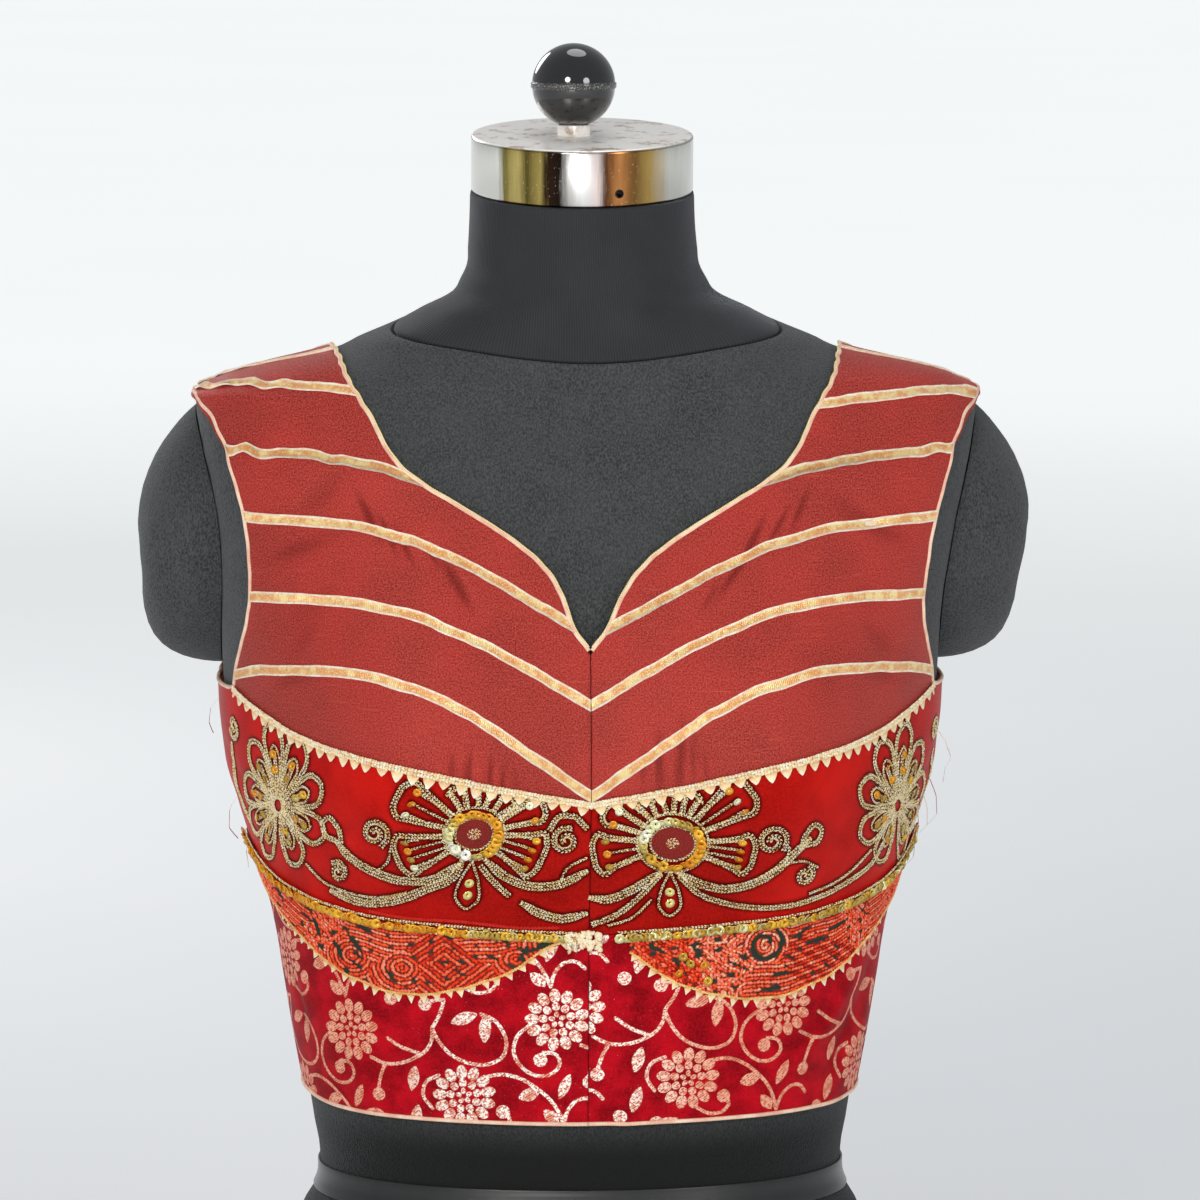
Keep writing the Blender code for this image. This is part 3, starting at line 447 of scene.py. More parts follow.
def cloth_top(angle, height):
    """How far the cloth's outer face stands off the figure."""
    level = ease_at(height) + WALL + large_folds(angle, height)
    level = level + bumps(FOLDS, arc_of(angle, height), height)
    return np.maximum(level, LEAST_CLEARANCE + LEAST_OVER_CLEARANCE)


def crease_shade_at(arc, height):
    """How deep in a crease a point of the cloth is, from 0 to 1. Finishes paint shade there: painted shade
    in the creases.
    """
    creases = [(*row[:5], row[5] * min(1.0, 1.8 / row[3])) for row in FOLDS if row[5] < 0]
    return np.clip(-0.95 * bumps(creases, arc, height) - 0.1, 0, 0.6)


def on_cloth(angle, height, lift=0.0):
    """A point this far out from the cloth's outer face."""
    angle, height = np.broadcast_arrays(np.asarray(angle, float), np.asarray(height, float))
    out = cloth_top(angle, height) + lift
    return standing(body_point(angle, height) + body_normal(angle, height) * out[..., None])


def drawn(arc, height, lift=0.0):
    """The same, for a point of a flat drawing."""
    return on_cloth(angle_of(arc, height), height, lift)


print(len(LARGE_FOLDS) + len(FOLDS), "folds")

# %% [markdown]
# ## Mesh helpers
# Cloth is a grid of points with a second, plainer grid behind it, closed round its rim, so
# that it is a thin shell with two faces. Trims are strips with a cross-section. Stitches,
# cords and sequins are one small shape copied along a line, all joined in one mesh.

# %% Mesh helpers
def as_object(name, points, faces, finish, uv=None, fields=None, smooth_angle=50.0):
    """An object from points in millimetres and its faces."""
    mesh = bpy.data.meshes.new(name)
    mesh.from_pydata((np.asarray(points) * MM).tolist(), [], [tuple(face) for face in faces])
    mesh.update()
    if uv is not None:
        corners = np.zeros(len(mesh.loops), int)
        mesh.loops.foreach_get("vertex_index", corners)
        layer = mesh.uv_layers.new(name="flat")
        layer.data.foreach_set("uv", (np.asarray(uv)[corners] * MM).astype(np.float32).ravel())
    for field, values in (fields or {}).items():
        mesh.attributes.new(field, "FLOAT", "POINT").data.foreach_set("value", values.astype(np.float32))
    mesh.shade_smooth()
    mesh.set_sharp_from_angle(angle=math.radians(smooth_angle))
    mesh.materials.append(finish)
    made = bpy.data.objects.new(name, mesh)
    scene.collection.objects.link(made)
    return made


def counted(piece):
    piece.data.calc_loop_triangles()
    return f"{piece.name}: {len(piece.data.loop_triangles)} triangles"


def closed_up(piece, merge=0.001):
    """Joins points that meet, and turns all faces of a closed piece outwards."""
    builder = bmesh.new()
    builder.from_mesh(piece.data)
    bmesh.ops.remove_doubles(builder, verts=builder.verts, dist=merge * MM)
    bmesh.ops.recalc_face_normals(builder, faces=builder.faces)
    builder.to_mesh(piece.data)
    builder.free()
    return piece


def grid_faces(rows, columns, first=0, turned_over=False, closed=False):
    """The quads of a grid of points that is numbered row by row."""
    r, c = np.meshgrid(np.arange(rows - 1), np.arange(columns - (not closed)), indexing="ij")
    n = (c + 1) % columns
    quads = stacked(r * columns + c, r * columns + n, (r + 1) * columns + n, (r + 1) * columns + c)
    quads = quads.reshape(-1, 4) + first
    return (quads[:, ::-1] if turned_over else quads).tolist()


def strip(name, lanes, finish, closed=False, smooth_angle=50.0, fields=None):
    """A solid strip: a ring of lanes, each a line of points, numbered round the cross-section."""
    grid = np.array(lanes)
    turns, length = grid.shape[:2]
    faces = grid_faces(length + closed, turns, closed=True)
    if closed:
        faces = (np.array(faces) % (length * turns)).tolist()
    else:
        faces += [list(range(turns)), list(range((length - 1) * turns, length * turns))]
    runs = run_along(grid.mean(0))
    uv = stacked(*np.meshgrid(runs, np.arange(turns) * 1.0, indexing="ij")).reshape(-1, 2)
    points = grid.transpose(1, 0, 2).reshape(-1, 3)
    return closed_up(as_object(name, points, faces, finish, uv, fields, smooth_angle))


# %% Cloth
EDGE_ROLL, EDGE_DROP, CLOTH_MERGE = 1.3, 0.55, 0.02
THIN = 4


def rim_distance(points, folded_from):
    """How far each point of a grid is from its rim, down and across the grid."""
    down = size_of(np.diff(points, axis=0)).cumsum(0)
    over = size_of(np.diff(points, axis=1)).cumsum(1)
    top, left = np.pad(down, ((1, 0), (0, 0))), np.pad(over, ((0, 0), (1, 0)))
    right = left[:, -1:] - left
    right[folded_from:] = 1e3
    return np.minimum.reduce([top, top[-1] - top, left, right])


def rim_faces(outer, inner):
    """A fan of triangles between a fine line of point numbers and one with every fourth."""
    faces = []
    for step, pair in enumerate(zip(outer[:-1], outer[1:])):
        at = step // THIN
        faces.append((*pair, inner[at]))
        if (step + 1) % THIN == 0:
            faces.append((inner[at], pair[1], inner[at + 1]))
    return faces


def shell(name, halves, finish, folded_from=None, fields=None):
    """A cloth panel from one or two grids of angles and heights, with rows from the top down.

    The face is fine and carries the folds. The back keeps every fourth row and column, and
    the rim between them fans out. Two halves are joined at the centre back: their last
    columns meet there from the row folded_from on, where no rim is wanted.
    """
    # Every panel carries a field of painted shade for its creases.
    fields = {"sunk": crease_shade_at, **(fields or {})}
    points, uv, faces, values = [], [], [], {key: [] for key in fields}
    first = 0
    for angles, heights in halves:
        rows, columns = angles.shape
        joined_from = rows if folded_from is None else folded_from
        rolled = np.clip(1 - rim_distance(on_cloth(angles, heights), joined_from) / EDGE_ROLL, 0, 1) ** 2
        face = on_cloth(angles, heights, -EDGE_DROP * rolled)
        back_angles, back_heights = angles[::THIN, ::THIN], heights[::THIN, ::THIN]
        clear = 0.4 * ease_at(back_heights) + large_folds(back_angles, back_heights)
        back = standing(body_point(back_angles, back_heights)
                        + body_normal(back_angles, back_heights) * clear[..., None])
        second = first + rows * columns
        numbers = first + np.arange(rows * columns).reshape(rows, columns)
        behind = second + np.arange(back_angles.size).reshape(back_angles.shape)
        faces += grid_faces(rows, columns, first) + grid_faces(*behind.shape, second, turned_over=True)
        for fine, coarse in (
                (numbers[0], behind[0]), (numbers[-1], behind[-1]), (numbers[:, 0], behind[:, 0]),
                (numbers[:joined_from + 1, -1], behind[:joined_from // THIN + 1, -1])):
            faces += rim_faces(fine.tolist(), coarse.tolist())
        for grid_angles, grid_heights in ((angles, heights), (back_angles, back_heights)):
            uv.append(stacked(arc_of(grid_angles, grid_heights), grid_heights).reshape(-1, 2))
        for key, field in fields.items():
            values[key] += [field(*grid.T) for grid in uv[-2:]]
        points += [face.reshape(-1, 3), back.reshape(-1, 3)]
        first = second + behind.size
    made = as_object(name, np.vstack(points), faces, finish, np.vstack(uv),
                     {key: np.concatenate(parts) for key, parts in values.items()})
    return closed_up(made, CLOTH_MERGE)


def spaced(length, step, edge=EDGE_ROLL):
    """Shares of a length about a step apart, closer at both ends, in fours."""
    count = 4 * max(1, round((length / step - 4) / 4))
    ends = np.array([0.0, 0.3, 0.75]) * edge / length
    return np.concatenate([ends, np.linspace(edge / length, 1 - edge / length, count - 5), 1 - ends[::-1]])


# %% Lines on the figure
def along(points, shares):
    """Angles and heights at these shares of the way along a line of (angle, height) points."""
    angles, heights = np.array(points).T
    marks = run_along(stacked(np.radians(angles) * MM_PER_RADIAN, heights))
    return [smooth(marks / marks[-1], values, shares) for values in (angles, heights)]


def line_of(points, shares):
    return stacked(*along(points, shares))


def moved_across(angle, height, distance, closed=False):
    """The same line, moved sideways over the surface: down, on a line that runs away from the front."""
    round_body, up_body = tangents(angle, height)
    points = body_point(angle, height)
    run = np.roll(points, -1, axis=0) - np.roll(points, 1, axis=0) if closed else np.gradient(points, axis=0)
    side = np.cross(run, np.cross(round_body, up_body))
    side *= (distance / size_of(side))[..., None]
    rr, ru, uu, sr, su = ((first * second).sum(-1) for first, second in (
        (round_body, round_body), (round_body, up_body), (up_body, up_body),
        (side, round_body), (side, up_body)))
    spread = rr * uu - ru * ru
    return angle + (sr * uu - su * ru) / spread, height + (su * rr - sr * ru) / spread


def evenly(angles, heights, step, closed=False):
    """The same line with points about a step apart, and its length."""
    if closed:
        angles, heights = np.append(angles, angles[0]), np.append(heights, heights[0])
    run = run_along(body_point(angles, heights))
    marks = np.linspace(0, run[-1], max(3, round(run[-1] / step) + 1))
    marks = marks[:-1] if closed else marks
    return np.interp(marks, run, angles), np.interp(marks, run, heights), run[-1]


# %% Small shapes, copied along lines
def turns_of(count):
    return np.arange(count) * 2 * math.pi / count


def spindle(sides, waist=0.0):
    """A grain: two tips and one or two rings of corners, all in a unit box."""
    places = (-waist, waist) if waist else (0.0,)
    points = [(-0.5, 0.0, 0.0)]
    points += [(x, 0.5 * math.cos(turn), 0.5 * math.sin(turn)) for x in places for turn in turns_of(sides)]
    points.append((0.5, 0.0, 0.0))
    last = len(points) - 1
    faces = []
    for k in range(sides):
        n = (k + 1) % sides
        faces += [(0, 1 + n, 1 + k), (last, last - sides + k, last - sides + n)]
        if waist:
            faces += [(1 + k, 1 + n, 1 + sides + n), (1 + k, 1 + sides + n, 1 + sides + k)]
    return np.array(points), np.array(faces)


def sequin_shape(sides):
    """A cupped disc with a hole: two rings in front and two behind, in a unit box."""
    points, faces = [], []
    for ring, (radius, level) in enumerate(((0.09, 0.0), (0.5, 0.16), (0.5, 0.10), (0.09, -0.06))):
        points += [(radius * math.cos(turn), radius * math.sin(turn), level) for turn in turns_of(sides)]
        above, below = ring * sides, (ring + 1) % 4 * sides
        for k in range(sides):
            n = (k + 1) % sides
            faces += [(above + k, below + k, below + n), (above + k, below + n, above + n)]
    return np.array(points), np.array(faces)


def copies(name, shape, centres, forward, normals, sizes, finish, fields):
    """One object with a copy of the shape at each centre, turned to its own directions."""
    base, faces = shape
    forward = unit(forward - (forward * normals).sum(-1, keepdims=True) * normals)
    axes = np.stack([forward, np.cross(normals, forward), normals], 1)
    points = np.einsum("vk,nk,nkx->nvx", base, sizes, axes) + centres[:, None, :]
    numbers = faces[None] + (np.arange(len(centres)) * len(base))[:, None, None]
    fields = {key: np.repeat(values, len(base)) for key, values in fields.items()}
    faces = numbers.reshape(-1, 3).tolist()
    return as_object(name, points.reshape(-1, 3), faces, finish, None, fields, smooth_angle=180.0)


def grains_on_cloth(name, shape, flat, way, sizes, lift, finish, fields):
    """Copies of a grain laid on the cloth along flat directions."""
    reach = 0.4
    centres = drawn(*flat.T, lift)
    forward = drawn(*(flat + reach * way).T, lift) - drawn(*(flat - reach * way).T, lift)
    normals = body_normal(angle_of(*flat.T), flat[:, 1])
    return copies(name, shape, centres, forward, normals, sizes, finish, fields)


# %% Flat drawings
def flat_line(points, step, closed=False):
    """A smooth drawn line through a few (arc, height) points, as points a step apart."""
    points = np.array(points, float)
    if closed:
        points = np.vstack([points, points[:1]])
    marks = run_along(points)
    lengths = np.diff(marks)
    fine = np.linspace(0, marks[-1], max(8, int(marks[-1] / 0.25)))
    if len(points) > 2:
        ways = np.gradient(points, marks, axis=0)
        if closed:
            ways[0] = ways[-1] = (points[1] - points[-2]) / (lengths[0] + lengths[-1])
        gap = np.clip(np.searchsorted(marks, fine, side="right") - 1, 0, len(lengths) - 1)
        share = ((fine - marks[gap]) / lengths[gap])[:, None]
        size = lengths[gap][:, None]
        curve = ((1 + 2 * share) * (1 - share) ** 2 * points[gap]
                 + share ** 2 * (3 - 2 * share) * points[gap + 1]
                 + share * (1 - share) ** 2 * size * ways[gap]
                 - share ** 2 * (1 - share) * size * ways[gap + 1])
    else:
        curve = points[0] + (points[-1] - points[0]) * (fine / marks[-1])[:, None]
    runs = run_along(curve)
    wanted = np.linspace(0, runs[-1], max(2, round(runs[-1] / step) + 1))
    return stacked(*(np.interp(wanted, runs, column) for column in curve.T))


def flat_frame(line):
    """Unit directions along and across a drawn line."""
    way = unit(np.gradient(line, axis=0))
    return way, stacked(-way[:, 1], way[:, 0])


def turned_to(points, centre, lean):
    """Points of a drawing, turned by a lean and moved to a centre."""
    return stacked(*leaning(*np.array(points, float).T, -lean)) + centre


def ring(centre, across, up, count=24):
    turn = turns_of(count)
    return stacked(centre[0] + across * np.cos(turn), centre[1] + up * np.sin(turn))


def spiral(centre, radius, turns, start, hand=1):
    """A drawn spiral that winds in from its radius, as a few points."""
    steps = np.linspace(0.0, 1.0, int(turns * 8) + 1)
    angle = math.radians(start) + hand * 2 * math.pi * turns * steps
    reach = radius * (1 - 0.82 * steps)
    return stacked(centre[0] + reach * np.cos(angle), centre[1] + reach * np.sin(angle))


print("a grain has", len(spindle(4, 0.2)[1]), "faces and a sequin", len(sequin_shape(8)[1]))
# %% [markdown]
# ## Finishes
# A finish is a node material. Its numbers are written as sums here: a small class wraps a
# socket, so that `1 - mask * 0.5` adds the Math nodes by itself. Any other node comes from
# one method. Weaves read the cloth's own flat map, so they turn with the cloth.

# %% Sums of sockets
class Number:
    """A socket that carries a number, with sums that add Math nodes."""

    def __init__(self, finish, socket):
        self.finish, self.socket = finish, socket

    def shaped(self, operation, other=0.0):
        return self.finish.node("ShaderNodeMath", {"operation": operation}, {0: self, 1: other})

    def __add__(self, other):
        return self.shaped("ADD", other)

    def __sub__(self, other):
        return self.shaped("SUBTRACT", other)

    def __mul__(self, other):
        return self.shaped("MULTIPLY", other)

    def __rsub__(self, other):
        return self.finish.node("ShaderNodeMath", {"operation": "SUBTRACT"}, {0: other, 1: self})

    __radd__, __rmul__ = __add__, __mul__

    def stepped(self, low, high):
        """From 0 at low to 1 at high, with soft ends."""
        settings = {"interpolation_type": "SMOOTHSTEP", "clamp": True}
        return self.finish.node("ShaderNodeMapRange", settings, {0: self, 1: low, 2: high})


def linear(colour):
    """A screen colour, from 0 to 255, as the linear light that shaders want."""
    shares = [value / 255.0 for value in colour]
    return (*(share / 12.92 if share <= 0.04045 else ((share + 0.055) / 1.055) ** 2.4
              for share in shares), 1.0)


# %% A finish and its nodes
class Finish:
    """A material, and the nodes that are added to it. Colours are screen colours."""

    def __init__(self, name, **values):
        self.material = bpy.data.materials.new(name)
        self.material.use_nodes = True
        self.tree = self.material.node_tree
        for key, value in values.items():
            self.input(key).default_value = value

    def input(self, key):
        return self.tree.nodes["Principled BSDF"].inputs[key.replace("_", " ").title().replace("Ior", "IOR")]

    def set(self, **links):
        for key, value in links.items():
            self.put(self.input(key), value)
        return self.material

    def node(self, kind, settings=None, inputs=None, output=0):
        made = self.tree.nodes.new(kind)
        for key, value in (settings or {}).items():
            setattr(made, key, value)
        for key, value in (inputs or {}).items():
            self.put(made.inputs[key], value)
        return Number(self, made.outputs[output])

    def put(self, socket, value):
        if isinstance(value, Number):
            self.tree.links.new(value.socket, socket)
        else:
            is_colour = socket.type == "RGBA" and len(value) == 3
            socket.default_value = linear(value) if is_colour else value

    def ramp(self, value, *stops):
        """A colour that runs through the stops, which are (place, colour)."""
        made = self.node("ShaderNodeValToRGB", {}, {"Fac": value})
        elements = made.socket.node.color_ramp.elements
        while len(elements) < len(stops):
            elements.new(0.5)
        for element, (place, colour) in zip(elements, stops):
            element.position, element.color = place, linear(colour)
        return made

    def placed(self, output, scale, turn=0.0):
        place = self.node("ShaderNodeTexCoord", output=output)
        return self.node("ShaderNodeMapping", {}, {
            "Vector": place, "Scale": tuple(1000.0 * value for value in scale),
            "Rotation": (0.0, 0.0, math.radians(turn))})

    def flat(self, scale=(1.0, 1.0, 1.0), turn=0.0):
        """The cloth's flat map, in millimetres times the scale."""
        return self.placed("UV", scale, turn)

    def solid(self, scale=(1.0, 1.0, 1.0)):
        """The place in the object, in millimetres times the scale."""
        return self.placed("Object", scale)

    def axis(self, place, number=0):
        return self.node("ShaderNodeSeparateXYZ", {}, {"Vector": place}, number)

    def reach(self, place):
        return self.node("ShaderNodeVectorMath", {"operation": "LENGTH"}, {0: place}, 1)

    def noise(self, place, size=1.0, detail=2.0, rough=0.5):
        """Cloudy values about 0.5, with clouds about size millimetres across."""
        return self.node("ShaderNodeTexNoise", {}, {"Vector": place, "Scale": 1.0 / size,
                                                    "Detail": detail, "Roughness": rough})

    def cells(self, place, size):
        return self.node("ShaderNodeTexVoronoi", {"feature": "F1"}, {
            "Vector": place, "Scale": 1.0 / size, "Randomness": 1.0})

    def waves(self, place, size, direction="X", bend=0.0):
        """Ribs that are size millimetres apart."""
        settings = {"wave_type": "BANDS", "bands_direction": direction, "wave_profile": "SIN"}
        return self.node("ShaderNodeTexWave", settings, {
            "Vector": place, "Scale": 2 * math.pi / size / 20.0, "Distortion": bend,
            "Detail": 1.0, "Detail Scale": 1.0})

    def mixed(self, share, first, second):
        """A colour between two."""
        return self.node("ShaderNodeMix", {"data_type": "RGBA"}, {0: share, 6: first, 7: second}, 2)

    def field(self, name):
        return self.node("ShaderNodeAttribute", {"attribute_name": name}, output="Fac")

    def relief(self, height, depth):
        """A bump of so many millimetres."""
        return self.node("ShaderNodeBump", {}, {"Height": height, "Distance": depth * MM, "Strength": 1.0})


pale = Finish("pale_floor", roughness=0.9, emission_strength=1.0)
floor_reach = pale.reach(pale.solid()) * 0.001
GLOW_NEAR, GLOW_FAR = (0.07, 0.075, 0.08, 1.0), (0.59, 0.60, 0.585, 1.0)
floor.data.materials.append(pale.set(
    Base_Color=pale.mixed(pale.noise(pale.solid(), 900.0), (226, 228, 230), (236, 237, 238)),
    Emission_Color=pale.mixed(floor_reach.stepped(0.2, 6.0), GLOW_NEAR, GLOW_FAR)))
print("floor finish:", pale.material.name)
# %% [markdown]
# ## The dress form
# The form is a stuffed trunk under black jersey. The neck is a second piece of jersey, so a
# seam runs round its foot, low at the front and high at the sides. Padded caps close the
# armholes, a shiny woven tape marks the waist, and the trunk stands on its own flat base.

# %% Jersey
jersey = Finish("black_jersey_knit", roughness=0.85, specular_ior_level=0.35, sheen_weight=0.15,
                sheen_roughness=0.4, sheen_tint=(0.9, 0.95, 1.0, 1.0))
knit = jersey.noise(jersey.solid((1.0, 1.0, 0.5)), 0.75, 2.0, 0.7).stepped(0.32, 0.68)
cloud = jersey.noise(jersey.solid(), 26.0, 3.0).stepped(0.3, 0.7)
# Below the blouse's hem, from 190 mm down to 160 mm, the jersey is painted nearly black: painted shade under
# the blouse.
above_hem_shade = jersey.axis(jersey.solid(), 2).stepped(160.0, 190.0)
dark = jersey.mixed(knit * 0.75, jersey.mixed(cloud, (36, 37, 38), (48, 49, 50)), (84, 86, 87))
JERSEY = jersey.set(Base_Color=jersey.mixed(above_hem_shade, (6, 7, 7), dark), Normal=jersey.relief(knit, 0.22))

ribbed = Finish("black_jersey_ribs", roughness=0.8, specular_ior_level=0.35, sheen_weight=0.2,
                sheen_roughness=0.35, sheen_tint=(0.85, 0.9, 1.0, 1.0))
ribs = ribbed.waves(ribbed.flat(), 1.1)
cloud = ribbed.noise(ribbed.solid(), 22.0, 3.0)
RIBBED_JERSEY = ribbed.set(Base_Color=ribbed.mixed(ribs * 0.4 + cloud * 0.5, (26, 28, 30), (52, 54, 57)),
                           Normal=ribbed.relief(ribs, 0.12))
print("jersey:", JERSEY.name, RIBBED_JERSEY.name)

# %% Trunk and neck
NECK_SEAM_FRONT, NECK_SEAM_RISE = 528.0, 24.0
TRUNK_LEVELS = (*np.arange(0.0, 180.0, 5.0), *np.arange(180.0, 500.0, 16.0))
DENTS = (
    # place round the form, height, lean, half width, half length, lift
    (-30, 566, 20, 5, 22, -0.6),
    (14, 574, 170, 6, 26, -0.7),
    (40, 560, 140, 5, 18, 0.5),
    (-8, 590, 175, 4, 24, -0.5),
    (60, 60, 80, 14, 40, -0.8),
    (-90, 90, 100, 16, 36, -0.7),
    (-40, 150, 8, 5, 30, -0.5),
    (200, 80, 85, 16, 40, -0.8),
)


def neck_seam(angles):
    return NECK_SEAM_FRONT + NECK_SEAM_RISE * (1 - (0.5 + 0.5 * np.cos(np.radians(angles))) ** 1.4)


def form_point(angles, heights, sink=0.0):
    dents = bumps(DENTS, np.radians((angles + 180) % 360 - 180) * MM_PER_RADIAN, heights)
    out = np.minimum(dents, 0.0) - sink
    return standing(body_point(angles, heights, FORM) + body_normal(angles, heights, FORM) * out[..., None])


def rings(name, grid, finish, uv_width=300.0, smooth_angle=50.0):
    """A solid of closed rings with flat ends, lowest first."""
    rows, columns = grid.shape[:2]
    faces = grid_faces(rows, columns, closed=True)
    faces += [list(range(columns)), list(range((rows - 1) * columns, rows * columns))]
    uv = stacked(*np.meshgrid(np.linspace(0, uv_width, columns), np.arange(rows) * 1.0)).reshape(-1, 2)
    return closed_up(as_object(name, grid.reshape(-1, 3), faces, finish, uv, None, smooth_angle))


turns = np.arange(-180.0, 180.0, 3.0)
seam = neck_seam(turns)
low = [(level + 0 * turns, 0.0) for level in TRUNK_LEVELS]
low += [(500.0 + (seam - 500.0) * share, 0.0) for share in np.linspace(0, 0.95, 24)]
low += [(seam - 1.0, 0.0), (seam - 0.4, 0.5), (seam - 0.3, 1.6), (seam - 0.3, 6.0)]
high = [(seam + 0.3, 6.0), (seam + 0.3, 1.2), (seam + 0.6, 0.3), (seam + 1.3, 0.0)]
high += [(seam + (NECK_TOP - seam) * share, 0.0) for share in np.linspace(0.05, 0.97, 30)]
high += [(NECK_TOP - 0.5 + 0 * turns, 0.2), (NECK_TOP + 0 * turns, 1.2)]
trunk = rings("form_trunk", np.array([form_point(turns, *row) for row in low]), JERSEY)
neck = rings("form_neck", np.array([form_point(turns, *row) for row in high]), RIBBED_JERSEY, 330.0)
print("trunk and neck:", len(trunk.data.polygons) + len(neck.data.polygons), "faces")

# %% Arm caps and waist tape
ARM_CAP_ANGLE, ARM_CAP_REACH = 96.0, 16.0
ARM_CAP_HEIGHT, ARM_CAP_RISE, ARM_CAP_DEPTH, ARM_CAP_GAP = 442.5, 61.5, 36.5, 0.6
ARM_CAP_SHARES = (0.3, 0.6, 0.85, 1.0, 0.998, 0.99, 0.975, 0.95, 0.91, 0.86, 0.79, 0.7, 0.6, 0.48,
                  0.36, 0.24, 0.12, 0.04)
ARM_CAP_INSIDE = 3


def arm_cap(name, side):
    turn = turns_of(64)
    grid = []
    for number, share in enumerate(ARM_CAP_SHARES):
        angle = ARM_CAP_ANGLE + ARM_CAP_REACH * share * np.cos(turn)
        height = ARM_CAP_HEIGHT + ARM_CAP_RISE * share * np.sin(turn)
        power = np.interp(np.sin(turn), (-1, 0, 1), (6.0, 3.2, 2.0))
        root = np.interp(np.sin(turn), (-1, 0, 1), (0.5, 0.5, 1.0))
        seat = body_point(angle, height, FORM) + ARM_CAP_GAP * body_normal(angle, height, FORM)
        out = ARM_CAP_DEPTH * (1 - share ** power) ** root if number >= ARM_CAP_INSIDE else 0 * turn
        crease = 0.35 * np.sin(3 * turn + share * 5) * share * (1 - share) * 4
        grid.append(seat + stacked(out - np.where(out > 3, abs(crease), 0), 0 * out, 0 * out))
    return rings(name, standing(np.array(grid) * np.array([side, 1.0, 1.0])), JERSEY, smooth_angle=60.0)


shiny = Finish("shiny_tape", roughness=0.3, specular_ior_level=0.45, coat_weight=0.2, coat_roughness=0.2)
TAPE = shiny.set(Base_Color=shiny.mixed(shiny.noise(shiny.solid(), 18.0), (20, 21, 21), (34, 35, 35)),
                 Normal=shiny.relief(shiny.waves(shiny.solid(), 0.5, "Z"), 0.05))
TAPE_LEVELS = (133.2, 146.2)
TAPE_SECTION = ((0.0, 0.3), (0.25, 0.3), (0.5, 0.3), (0.75, 0.3), (1.0, 0.3), (1.0, 0.9), (0.97, 1.1),
                (0.75, 1.05), (0.5, 1.0), (0.25, 1.05), (0.03, 1.1), (0.0, 0.9))
tape_turns = np.arange(0.0, 360.0, 2.0)
tape_lanes = []
for share, off in TAPE_SECTION:
    level = TAPE_LEVELS[0] + (TAPE_LEVELS[1] - TAPE_LEVELS[0]) * share + 0 * tape_turns
    tape_lanes.append(standing(body_point(tape_turns, level) + body_normal(tape_turns, level) * off))
strip("form_waist_tape", tape_lanes, TAPE, closed=True)
caps = [arm_cap("form_arm_pad_l", 1.0), arm_cap("form_arm_pad_r", -1.0)]
print("arm caps:", len(caps[0].data.polygons), "faces each")
# %% [markdown]
# ## The neck cap and its knob
# The neck ends in a turned metal cap, leaning with the neck. A hexagonal collar carries a
# black ball, and the mould's parting line is left on the ball as a thin rough ridge. These
# are made as a turner would: a plain solid first, and then its edges are broken.

# %% Sizes of the top
CAP_RADIUS, CAP_TALL, CAP_LEAN = 51.8, 26.5, math.atan(NECK_TILT)
KNOB_SIDE, KNOB_RADIUS, RIDGE_RADIUS, RIDGE_TALL, KNOB_HEIGHT = -4.0, 19.5, 20.0, 2.6, 652.9
COLLAR_RADIUS, COLLAR_TOP = 8.7, 634.5
SCREW_HOLE_RADIUS, SCREW_HOLE_RISE = 1.7, 6.5
SWAY_AT_NECK = 1.0
foot = NECK_TOP + 0.3
hole_turn = math.radians(17.0)
hole_place = (SWAY_AT_NECK + CAP_RADIUS * math.sin(hole_turn), -CAP_RADIUS * math.cos(hole_turn),
              foot + SCREW_HOLE_RISE - CAP_RADIUS * math.sin(CAP_LEAN))
print("screw hole at", [round(value, 1) for value in hole_place])

# %% Metal and black enamel
# The side is polished, and its upright streaks of gold, brown and grey are painted reflections
# of a dark warm room, laid into its colour by the place across the cap. The top is worn and
# dusty, so it is paler and less of a mirror, with brown smudges round the knob.
metal = Finish("tarnished_metal", metallic=1.0, roughness=0.2)
place = metal.solid()
sideways, backwards, upwards = (metal.axis(place, number) for number in range(3))
streaks = metal.noise(metal.solid((1.0, 0.4, 0.06)), 3.2, 4.0, 0.65)
run = sideways * (1 / (2 * CAP_RADIUS)) + 0.5 + (streaks - 0.5) * 0.07
# Painted reflections: upright streaks of a dark warm room, set by the place across the cap.
bands = metal.ramp(
    run, (0.0, (205, 206, 200)), (0.12, (222, 221, 214)), (0.15, (120, 110, 52)), (0.20, (196, 176, 108)),
    (0.25, (96, 84, 40)), (0.30, (170, 150, 84)), (0.34, (46, 32, 22)), (0.39, (30, 22, 18)),
    (0.42, (168, 166, 162)), (0.50, (214, 213, 212)), (0.56, (226, 210, 204)), (0.60, (88, 54, 34)),
    (0.66, (190, 128, 74)), (0.72, (120, 86, 46)), (0.80, (176, 146, 84)), (0.88, (198, 197, 190)),
    (1.0, (190, 191, 186)))
specks = metal.noise(place, 1.3, 3.0, 0.7).stepped(0.62, 0.74)
bands = metal.mixed(specks * 0.55, bands, (232, 230, 226))
up_the_cap = (upwards - foot) * math.cos(CAP_LEAN) - backwards * math.sin(CAP_LEAN)
on_top = up_the_cap.stepped(CAP_TALL - 0.9, CAP_TALL - 0.2)
smudges = metal.noise(place, 9.0, 4.0, 0.65).stepped(0.5, 0.7)
worn = metal.mixed(smudges * 0.8, (250, 246, 240), (158, 116, 90))
# The screw hole and a thin rim round it are painted nearly black and less metallic: painted shade in the
# hole.
squashed = metal.node("ShaderNodeMapping", {}, {
    "Vector": place, "Scale": (1.0, 0.3, 1.0),
    "Location": (-hole_place[0], -0.3 * hole_place[1], -hole_place[2])})
hole_shade = 1 - metal.reach(squashed).stepped(1.9, 2.3)
METAL = metal.set(Base_Color=metal.mixed(hole_shade, metal.mixed(on_top, bands, worn), (24, 16, 12)),
                  Metallic=(1 - on_top * 0.6) * (1 - hole_shade * 0.8),
                  Roughness=streaks * 0.25 + 0.08 + on_top * 0.18)

